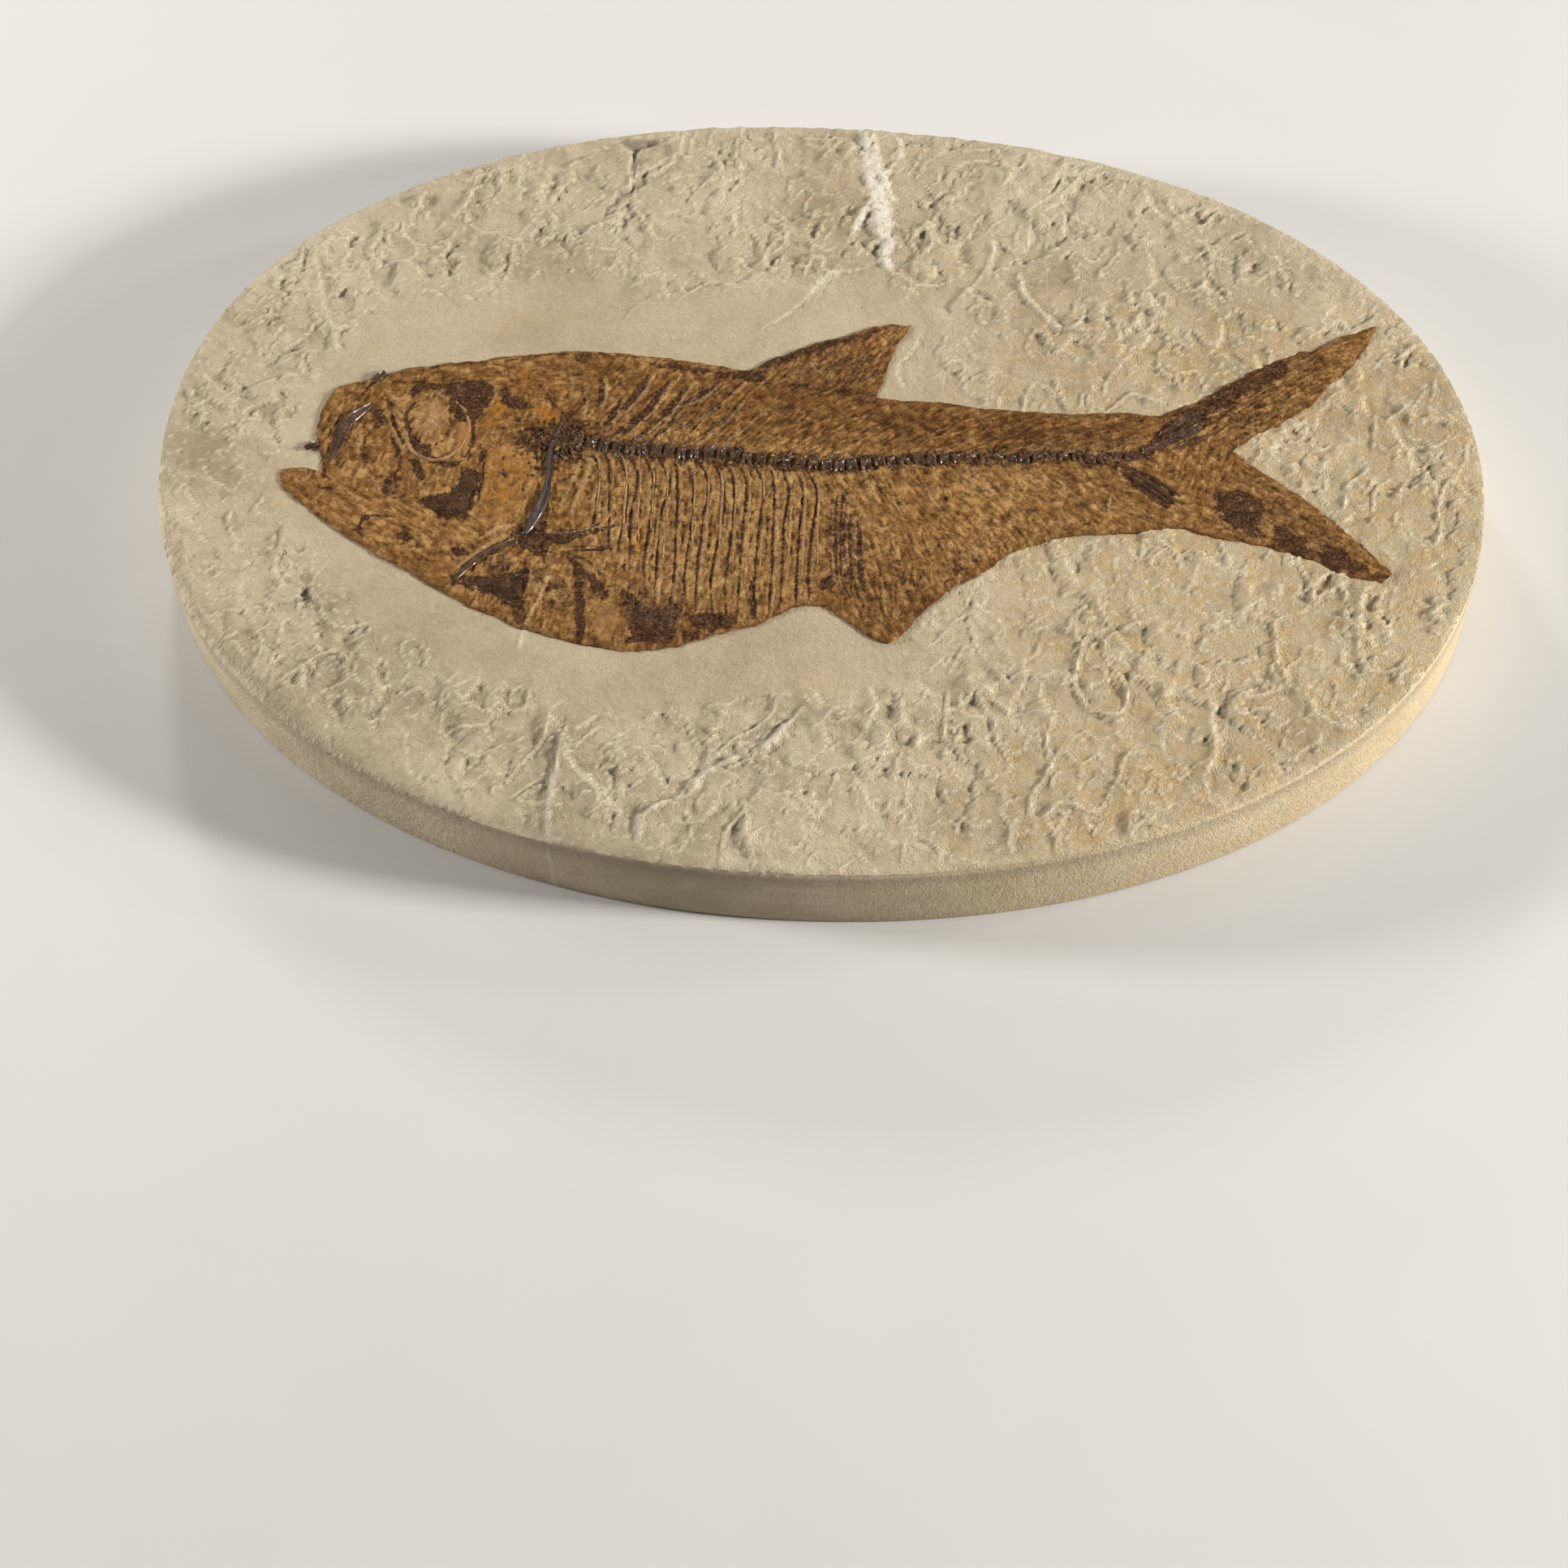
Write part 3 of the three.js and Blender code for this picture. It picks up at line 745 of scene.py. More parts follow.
    # the forked break at the front edge
    ground.ledge([(-54.6, -80), (-53.6, -88), (-54.4, -97), (-55.4, -106), (-54.4, -120)], 0.75, 5)
    ground.ledge([(-37, -108), (-43, -101), (-49, -95), (-53.6, -88)], 0.9, 4.5)
    ground.line([(-53.4, -76, 0.05), (-54, -88, 0.28), (-55, -104, 0.3), (-54.4, -121, 0.3)],
                soft=0.25, lift=-0.3, dark=0.4)
    ground.line([(-53, -79, 0.2), (-53.2, -88, 0.5), (-54, -104, 0.5), (-53.4, -121, 0.5)],
                soft=0.4, ragged=0.8, lift=0.4, white=0.4)
    ground.line([(-37, -107, 0.3), (-43, -100, 0.5), (-49, -94, 0.5), (-53, -88, 0.4)],
                soft=0.4, ragged=0.8, lift=0.4, white=0.4)
    ground.patch([(-60, -84), (-57, -92), (-55.6, -100), (-58, -98), (-61, -90)], soft=2, lift=-0.3, dark=0.2)
    # the bright stepped break right of it
    ground.ledge([(-32, -117), (-31.6, -109), (-28, -104), (-22, -101), (-19, -95), (-12, -89), (-6, -86),
                  (-1, -79), (3, -73)], -0.6, 5)
    ground.line([(-31.8, -115, 0.5), (-31.4, -108, 0.8), (-26, -103, 0.7), (-20.6, -100, 1), (-18, -94, 1),
                 (-11, -88.6, 0.8), (-5, -85, 0.9), (0, -78, 0.8), (3, -73, 0.4)], soft=0.6, ragged=0.9,
                lift=0.7, white=0.5)
    ground.ledge([(-9, -100), (-7, -108), (-5.6, -118)], 0.8, 3)
    ground.ledge([(-20, -82), (-18, -88), (-19, -94)], 0.6, 3)
    # the crack that leaves the belly
    ground.line([(-66.6, -52, 0.5), (-67.2, -56, 0.45), (-67.6, -60.4, 0.1)], soft=0.3, lift=0.25, white=0.35)
    # ochre stains and a few red and dark specks
    for x, y, wide, deep, how in ((85, 55, 16, 12, 0.5), (70, -26, 14, 12, 0.75), (95, -38, 24, 14, 0.7),
                                  (118, -22, 18, 12, 0.6), (60, -40, 14, 8, 0.4), (150, 35, 9, 16, 0.75),
                                  (136, 46, 9, 10, 0.6), (128, 30, 8, 8, 0.4), (26, 74, 12, 10, 0.55),
                                  (-30, 76, 9, 12, 0.45), (-6, 96, 16, 18, 0.4), (-140, -22, 12, 16, 0.35),
                                  (8, -65, 8, 4, 0.7), (-62, -80, 14, 7, 0.3), (-86, 48, 30, 8, 0.25),
                                  (110, 80, 12, 8, 0.25)):
        near = np.exp(-((ground.x - x) / wide) ** 2 - ((ground.y - y) / deep) ** 2)
        ground.layers["ochre"] = np.maximum(ground.layers["ochre"], how * near)
    yellowed = 0.95 * smoothStep(0, 90, ground.x) * smoothStep(85, 50, ground.y)
    ground.layers["ochre"] = np.maximum(ground.layers["ochre"], yellowed)
    for x, y, wide, how in ((131.6, -36, 1.2, 0.9), (29.6, -84, 0.9, 0.9), (83, -104, 1.4, 0.7),
                            (87, -85, 0.6, 0.8), (-13, 87, 1.0, 0.6), (47, 54, 1.0, 0.5),
                            (128, -28, 0.8, 0.6)):
        ground.patch([(x - wide, y), (x, y - wide), (x + wide, y + 0.3), (x, y + wide)], soft=0.5, rust=how)
    ground.patch([(-135, -17), (-133, -19.4), (-131, -18), (-132.4, -16)], soft=0.7, ochre=1.0, lift=0.3)


# how far each point stands above the points round it, in mm
def standOut(piece, heights):
    ends = read(piece.data.edges, "vertices", 2, np.int32)
    total, count = np.zeros(len(heights)), np.zeros(len(heights))
    for one, other in ((0, 1), (1, 0)):
        np.add.at(total, ends[:, one], heights[ends[:, other]])
        np.add.at(count, ends[:, one], 1)
    return heights - total / np.maximum(count, 1)


# the ground well inside the fish, which the film hides
def underFish(points):
    inside = insideOutline(points, fishLine + fishPlace)
    inside[inside] = edgeDistance(points[inside], fishLine + fishPlace) > 2.2
    return inside


def makeSlab():
    outline = slabOutline()
    piece = cutSheet("stone_slab", outline, slab["spacing"], underFish)
    points = groundPoints(piece)
    ground = Surface(points, ("lift", "white", "dark", "ochre", "rust", "worn", "bare", "crest", "hollow"),
                     1.6)
    rim = edgeDistance(points, outline)
    fishSide = edgeDistance(points, fishLine + fishPlace)
    inFish = insideOutline(points, fishLine + fishPlace)
    signed = np.where(inFish, -fishSide, fishSide)
    shapeStone(ground, rim, signed)
    # the ground settles to one level where it meets the fish and runs in under it
    meets = smoothStep(0.0, 3.0, signed)
    ground.layers["lift"] *= 0.5 + 0.5 * meets
    beside = 0.25 * np.exp(-np.maximum(signed, 0) / 6)
    heights = slab["faceHeight"] + beside + ground.layers["lift"] * np.where(signed < 0, 0.3, 1)
    heights = np.where(signed < -0.6, np.minimum(heights, slab["underFilm"]), heights)
    heights = np.minimum(heights, slabHigh[2])
    # painted highlight: a paler band along the rim edge, where the rounded edge catches the light
    ground.layers["worn"] = np.exp(-rim / 2.0)
    above = standOut(piece, heights) * (rim > 1)
    # crest: raised points get a painted highlight, partly the paler fresh breaks of the stone
    ground.layers["crest"] = smoothStep(0.05, 0.19, above)
    # hollow: low points get painted shade
    ground.layers["hollow"] = smoothStep(-0.04, -0.16, above)
    setHeights(piece, heights)
    ground.store(piece.data)
    half = (slabHigh - slabLow)[:2] / 2
    centre = (slabLow + slabHigh)[:2] / 2
    rings, last = [], 0.0
    for height, inset in ((19.2, 0.15), (16.5, 0.3), (11, 0.85), (5, 1.6),
                          (slab["baseEase"], slab["undercut"]), (0.15, slab["undercut"] + 0.2),
                          (0, slab["undercut"] + slab["baseEase"])):
        rings.append((height, *((half - inset) / (half - last))))
        last = inset
    dropSides(piece, rings, centre)
    smoothFaces(piece, 62)
    print("slab made,", len(piece.data.polygons), "faces")
    return piece


def stoneMaterial():
    material, wire = startMaterial("pale limestone")
    place = stretched(wire)
    broad = grain(wire, place, 34, 0.55, 3)
    cloudy = grain(wire, place, 9, 0.6, 4, 0.6)
    speck = grain(wire, place, 1.6, 0.62, 4)
    grit = grain(wire, place, 0.45, 0.6, 3)
    mix = (broad * 0.45 + cloudy * 0.35 + speck * 0.2).between(0.2, 0.8) * 0.9 + 0.05
    stops = [(0.25, slab["shadeTone"]), (0.5, slab["stoneTone"]), (0.75, slab["paleTone"])]
    colour = wire.node("ValToRGB", {"stops": stops}, {"Fac": mix})
    colour = over(layer(wire, "bare") * 0.5, colour, slab["scrapedTone"])
    mottled = grain(wire, place, 5, 0.65, 4, 0.8).between(0.42, 0.62)
    colour = over((layer(wire, "ochre") * (mottled * 0.75 + 0.25)).clamped() * 0.75, colour,
                  slab["ochreTone"])
    patchy = grain(wire, stretched(wire, 0, (1, 1, 1), (3, 1, 0)), 6.5, 0.7, 4, 0.5)
    colour = over(patchy.between(0.58, 0.74) * 0.35, colour, (0.50, 0.36, 0.19))
    colour = over(patchy.between(0.36, 0.26) * 0.3, colour, (0.36, 0.30, 0.22))
    colour = over(speck.between(0.60, 0.78) * 0.4, colour, (0.70, 0.62, 0.48))
    colour = over(speck.between(0.38, 0.24) * 0.45, colour, (0.26, 0.20, 0.13))
    colour = over(grit.between(0.56, 0.72) * 0.35, colour, (0.74, 0.66, 0.50))
    colour = over(grit.between(0.44, 0.30) * 0.35, colour, (0.27, 0.215, 0.145))
    colour = over(layer(wire, "dark") * 0.8, colour, (0.11, 0.085, 0.06))
    colour = over(layer(wire, "rust") * 0.75, colour, (0.22, 0.09, 0.04))
    colour = over(layer(wire, "white") * (speck.between(0.3, 0.55) * 0.6 + 0.35), colour, slab["whiteTone"])
    # painted highlight along the rim edge
    colour = over(layer(wire, "worn") * 0.3, colour, (0.64, 0.55, 0.40))
    # the sawn side: level scratches, and a darker strip of painted shade just under the edge
    level = wire.node("SeparateXYZ", {}, {0: place}, "Z") * (1 / mm)
    side = level.between(20.6, 19.2)
    scratches = grain(wire, stretched(wire, 0, (0.035, 0.035, 1)), 0.8, 0.65, 4)
    # painted shade: the side is darkened in a band just under the top edge
    paintedShadeStrip = level.between(20.8, 19.6) * level.between(14.5, 18.5)
    colour = over(side * scratches.between(0.35, 0.62) * 0.35, colour, (0.40, 0.335, 0.235))
    colour = over(paintedShadeStrip * 0.45, colour, (0.27, 0.215, 0.145))
    # sharp flake edges on the rough ground, too fine for the mesh
    uncut = (1 - layer(wire, "bare") * 0.85) * (1 - side)
    broken = bent(wire, bent(wire, place, 9, 9), 2.2, 2.6)
    large = flakes(wire, broken, 8.5)
    small = flakes(wire, bent(wire, place, 2.5, 3.2), 2.9)
    cracked = seams(wire, broken, 8.5).between(0.035, 0.0) * cloudy.between(0.44, 0.54) * uncut
    colour = over(cracked * 0.35, colour, (0.24, 0.19, 0.12))
    colour = over(large * uncut * 0.16, colour, (0.66, 0.57, 0.42))
    # painted shade in the hollows
    colour = over(layer(wire, "hollow") * 0.2, colour, (0.30, 0.24, 0.16))
    # painted highlight on raised edges, partly their paler fresh breaks
    colour = over(layer(wire, "crest") * 0.6, colour, (0.76, 0.67, 0.49))
    height = speck * 0.9 + grit * 0.75 + scratches * side * 0.5 + (large * 0.9 + small * 0.6) * uncut
    return finishMaterial(wire, material, colour, 0.86 - speck * 0.1, height, 0.85, level=0.35)


# materials are put on and every piece is tied to the frame

def settle(piece, material, slot, *nodes):
    piece.data.materials.clear()
    piece.data.materials.append(material)
    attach(piece, "root")
    if nodes:
        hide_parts(*nodes)


limestone = stoneMaterial()
settle(makeSlab(), limestone, "limestone", "matrix_slab")


# the skin and bone film of the fish

film = {
    "top": 23.15,
    "edge": 22.85,  # the thin broken rim of the film
    "foot": 22.05,
    "spacing": 0.415,
    "ribs": 17,
    "ribGap": 3.45,
    "specks": 260,  # black specks where head and backbone meet
    "skullLines": 46,
    "highest": 24.1,
    "seed": 5,
    "shadeTone": (0.070, 0.028, 0.009),
    "skinTone": (0.222, 0.105, 0.031),
    "tanTone": (0.45, 0.262, 0.096),
    "orangeTone": (0.42, 0.170, 0.022),
    "inkTone": (0.022, 0.010, 0.005),
    "wornInkTone": (0.115, 0.052, 0.022),
}

skinLayers = ("lift", "ink", "pale", "tan", "orange", "sheen", "rim", "fibre", "deep")
backboneLine = [(-74, 8.6), (-68, 8.2), (-62.6, 7.4), (-50, 6), (-35, 5.3), (-20, 5.2), (-8, 4.7), (2, 4.4),
                (15, 6.4), (30, 8.5), (45, 9.8), (60, 11.5), (71, 11.6), (79.5, 14), (86, 18.4), (92, 23.5),
                (98, 28.5)]


def backboneHeight(x):
    return float(np.interp(x, [place[0] for place in backboneLine], [place[1] for place in backboneLine]))


# strokes that fan between two given lines: each runs from a place on the first to its mate on the second
def fanned(starts, ends, count, bow, skip, rand):
    first, last = curveThrough([(*p, 0) for p in starts], 0.5), curveThrough([(*p, 0) for p in ends], 0.5)
    for index in range(count):
        share = (index + rand.uniform(-0.25, 0.25) + 0.5) / count
        a = first[int(share * (len(first) - 1))][:2]
        b = last[int(share * (len(last) - 1))][:2]
        if rand.random() < skip:
            continue
        cut = rand.uniform(0, 0.12), rand.uniform(0.8, 1.0)
        run = b - a
        off = np.array([-run[1], run[0]]) * bow
        rows = [a + run * t + off * 4 * t * (1 - t) for t in (cut[0], 0.35, 0.7, cut[1])]
        yield [tuple(row) for row in rows]


# fibre of the skin: middle, half widths and the angle in degrees that it runs at
fibres = [
    (-30, -22, 32, 26, 93), (-62, -42, 14, 14, 84), (-42, 22, 24, 14, 62), (0, 18, 22, 12, 45),
    (45, 18, 28, 9, 30), (14, -14, 14, 20, -63), (38, -8, 20, 14, -52), (62, 2, 16, 9, -38),
    (82, 2, 10, 9, -24), (20, -38, 14, 12, -66), (4, 42, 16, 10, 56), (112, 38, 22, 14, 42),
    (118, -6, 22, 14, -32), (92, 10, 8, 10, 82), (-98, 8, 22, 22, 74), (-108, -22, 22, 9, -32),
    (-74, 6, 8, 26, 88), (-86, 30, 30, 7, 14),
]


# darker and lighter parts of the skin: middle, half widths, and how dark
tones = [
    (-12, 24, 52, 11, 0.8), (55, 19, 32, 9, 1.0), (4, 42, 18, 12, 0.9), (114, 40, 24, 16, 0.6),
    (120, -8, 24, 12, 0.5), (20, -40, 16, 12, 0.6), (-26, -22, 30, 20, -0.6), (-78, -8, 8, 12, -0.3),
    (-108, -20, 24, 9, -0.35), (44, -8, 24, 12, -0.3), (-40, -50, 22, 8, 0.4), (-70, 6, 12, 12, 0.6),
    (-116, 6, 8, 14, 0.3), (92, 8, 12, 10, -0.1),
]


def fibreField(x, y, across, along, seed):
    total, weights = np.zeros(len(x)), np.full(len(x), 1e-6)
    for index, (midX, midY, wide, deep, angle) in enumerate(fibres):
        weight = np.exp(-((x - midX) / wide) ** 2 * 1.6 - ((y - midY) / deep) ** 2 * 1.6)
        used = weight > 0.02
        turn = math.radians(angle)
        run = (x[used] - midX) * math.cos(turn) + (y[used] - midY) * math.sin(turn)
        off = (y[used] - midY) * math.cos(turn) - (x[used] - midX) * math.sin(turn)
        off = off + 0.012 * run * run * (0.3 if abs(angle) < 80 else 0.0)
        total[used] += weight[used] ** 2 * noiseField(off, run, across, seed + index, along / across)
        weights[used] += weight[used] ** 2
    return total / weights


def layRibs(skin, rand):
    for index in range(film["ribs"]):
        x = -58.5 + film["ribGap"] * index + rand.uniform(-0.3, 0.3)
        top = backboneHeight(x) - 2.4
        foot = np.interp(index, [0, 3, 8, 12, 17], [-20, -36, -50, -47, -38]) + rand.uniform(-3, 3)
        if index < 3:
            foot = min(foot, -18 - 5 * index)
        sway, bend = rand.uniform(-0.8, 0.8), rand.uniform(-0.7, 0.7)
        rows = [(x, top), (x + 1.7, top - 2.6), (x + 3.0 + bend, top - 8), (x + 3.6 + sway, -16),
                (x + 4.4 - bend, (foot - 16) / 2 - 3), (x + 5.2 + sway, foot)]
        dark = rand.uniform(0.8, 1.1)
        # the dark line left of each rib is partly the dark gap beside it and partly the rib's painted shadow
        skin.line(rows, 0.33, soft=0.4, ragged=0.16, ink=dark, lift=-0.16)
        skin.line([(a + 0.8, b) for a, b in rows], 0.4, soft=0.4, ragged=0.35, lift=0.16,
                  pale=rand.uniform(0.2, 0.6))
        skin.line([(a - 0.8, b) for a, b in rows], 0.4, soft=0.4, ragged=0.4, lift=0.1, tan=0.25)
        skin.line([(x + 1.9, top - 0.6), (x + 3.2, top - 4), (x + 4.6, top - 11), (x + 5.2, -18),
                   (x + 6, -26)], 0.22, soft=0.28, ragged=0.35, ink=rand.uniform(0.25, 0.6), lift=-0.08)
        # a second thinner line, and broken glossy stretches between the ribs, their sheen also painted into
        # the colour
        if rand.random() < 0.7:
            low = rand.uniform(-40, -22)
            skin.line([(x + 5.2, -8 + rand.uniform(-6, 2)), (x + 5.6, (low - 8) / 2), (x + 6.4, low)], 0.25,
                      soft=0.25, ragged=0.3, ink=rand.uniform(0.4, 0.8), lift=-0.06)
        for _ in range(3):
            start = rand.uniform(-38, -4)
            skin.line([(x + 3.6, start), (x + 4.2, start - rand.uniform(3, 9))], 0.5, soft=0.3, ragged=0.35,
                      sheen=rand.uniform(0.5, 1.0), lift=0.08, ink=0.3)


def laySpines(skin, rand):
    # broad slanted strokes behind the head, above the backbone
    for x0, y0, x1, y1, half, dark in (
            (-58.4, 18, -58, 29, 0.9, 0.7), (-56.4, 12, -52.4, 23, 1.0, 0.75), (-53, 17, -46.4, 31, 1.1, 0.8),
            (-50.4, 11, -41.4, 29, 1.2, 0.85), (-46.4, 10.6, -36.4, 28, 1.1, 0.8),
            (-43, 10, -38, 18, 0.8, 0.7), (-38.4, 21, -28.4, 30, 1.0, 0.75),
            (-38.4, 12, -22.4, 30, 0.7, 0.5), (-34, 9, -25, 20, 0.6, 0.45),
            (-30.4, 10.6, -20.4, 28, 0.6, 0.5), (-26, 9, -14, 26, 0.5, 0.45), (-62, 15, -63, 27, 0.7, 0.5),
            (-66, 21, -68, 33, 0.6, 0.4), (-48, 9, -44, 15, 0.8, 0.7), (-53.6, 9.6, -51, 15, 0.8, 0.7)):
        middle = ((x0 + x1) / 2 + 0.6, (y0 + y1) / 2 - 0.5)
        skin.line([(x0, y0, half * 0.4), (*middle, half), (x1, y1, half * 0.5)], soft=0.4, ragged=0.35,
                  ink=dark, lift=-0.1)
        skin.line([(x0 + 1.4 * half, y0, half * 0.3), (middle[0] + 1.5 * half, middle[1], half * 0.6),
                   (x1 + 1.2 * half, y1, half * 0.3)], soft=0.4, ragged=0.3, pale=0.5, lift=0.14)
    # finer spines all along, flatter towards the tail
    for x in np.arange(-56, 72, 1.55):
        x = x + rand.uniform(-0.5, 0.5)
        climb = math.radians(np.interp(x, [-56, -20, 20, 72], [66, 50, 36, 28]) + rand.uniform(-6, 6))
        reach = rand.uniform(7, 15) if x < 5 else rand.uniform(5, 12)
        base = backboneHeight(x) + 1.5 + rand.choice((0, 0, 3, 5))
        tip = (x + reach * math.cos(climb), base + reach * math.sin(climb))
        middle = ((x + tip[0]) / 2 + 0.5, (base + tip[1]) / 2 - 0.4)
        shade = np.interp(x, [-56, 0, 72], [0.6, 0.5, 0.38]) * rand.uniform(0.6, 1.15)
        skin.line([(x, base), middle, tip], rand.uniform(0.22, 0.36), soft=0.28, ragged=0.25, ink=shade,
                  lift=-0.06)
        skin.line([(x + 0.8, base), (middle[0] + 0.8, middle[1]), (tip[0] + 0.8, tip[1])], 0.35, soft=0.3,
                  ragged=0.2, pale=0.3 * rand.random(), lift=0.1)
    # below the backbone behind the ribs
    for x in np.arange(1, 72, 1.5):
        x = x + rand.uniform(-0.4, 0.4)
        fall = math.radians(np.interp(x, [1, 30, 72], [-66, -50, -34]) + rand.uniform(-5, 5))
        reach = rand.uniform(8, 16) * np.interp(x, [1, 40, 72], [1.3, 1, 0.6])
        base = backboneHeight(x) - 1.8 - rand.choice((0, 0, 2, 6))
        tip = (x + reach * math.cos(fall), base + reach * math.sin(fall))
        middle = ((x + tip[0]) / 2 - 0.4, (base + tip[1]) / 2 - 0.4)
        shade = np.interp(x, [1, 30, 72], [0.75, 0.55, 0.4]) * rand.uniform(0.6, 1.15)
        skin.line([(x, base), middle, tip], rand.uniform(0.22, 0.34), soft=0.28, ragged=0.25, ink=shade,
                  lift=-0.06)
        skin.line([(x + 0.7, base), (middle[0] + 0.7, middle[1]), (tip[0] + 0.7, tip[1])], 0.3, soft=0.3,
                  ragged=0.2, pale=0.45 * rand.random(), lift=0.1)


def layFins(skin, rand):
    def rays(starts, ends, count, half, ink, bow=0.0):
        for rows in fanned(starts, ends, count, bow, 0.1, rand):
            skin.line(rows, half * rand.uniform(0.7, 1.2), soft=0.26, ragged=0.22,
                      ink=ink * rand.uniform(0.5, 1.1), lift=-0.07)
            skin.line([(x + 0.7, y - 0.3) for x, y in rows], half, soft=0.3, ragged=0.2,
                      pale=0.25 * rand.random(), lift=0.1)

    # the fin on the back
    rays([(-19, 32), (-10, 31), (0, 29.6), (11, 28.6)],
         [(-9, 43), (3, 48.6), (12, 52), (17, 52), (14.6, 44), (12.4, 36)], 26, 0.28, 0.5)
    rays([(-16, 32), (10, 29)],
         [(-4, 44), (14, 46)], 16, 0.24, 0.4)
    # upper and lower tail lobes
    rays([(80, 22), (88, 22), (95, 17), (99, 14)],
         [(112, 47), (126, 55), (134, 59), (126, 43), (112, 27)], 22, 0.3, 0.5, 0.03)
    rays([(92, 28), (100, 20)],
         [(120, 50), (128, 46)], 12, 0.26, 0.45, 0.02)
    rays([(92, -4), (96, 4), (99, 12), (102, 15)],
         [(118, -15), (132, -20), (141, -20.6), (130, -8), (116, 4)], 22, 0.3, 0.5, -0.03)
    rays([(96, 2), (100, -7)],
         [(126, -12), (128, -17)], 12, 0.26, 0.45)
    # the fins under the belly and the dense oblique lines over them
    rays([(2, -12), (12, -14), (24, -14), (38, -12), (56, -6)],
         [(14, -44), (22, -48), (30, -36), (42, -26), (66, -12)], 34, 0.26, 0.6, -0.04)
    rays([(4, -26), (16, -27), (30, -25)],
         [(12, -44), (21, -50), (27, -41)], 18, 0.3, 0.6, -0.02)
    rays([(56, 4), (64, 2), (78, 0)],
         [(62, -12), (74, -11), (86, -9)], 14, 0.24, 0.4, -0.03)
    rays([(2, 2), (8, -4), (12, -10)],
         [(6, -36), (10, -38), (16, -40)], 9, 0.5, 0.8, -0.02)
    # short wrinkles across the root of the tail
    for index in range(9):
        x, y = 88 + 1.4 * index, 9 + 0.9 * index
        skin.line([(x, y + 5), (x + 1, y), (x + 0.6, y - 5)], 0.26, soft=0.25, ragged=0.25, ink=0.4,
                  lift=-0.08)


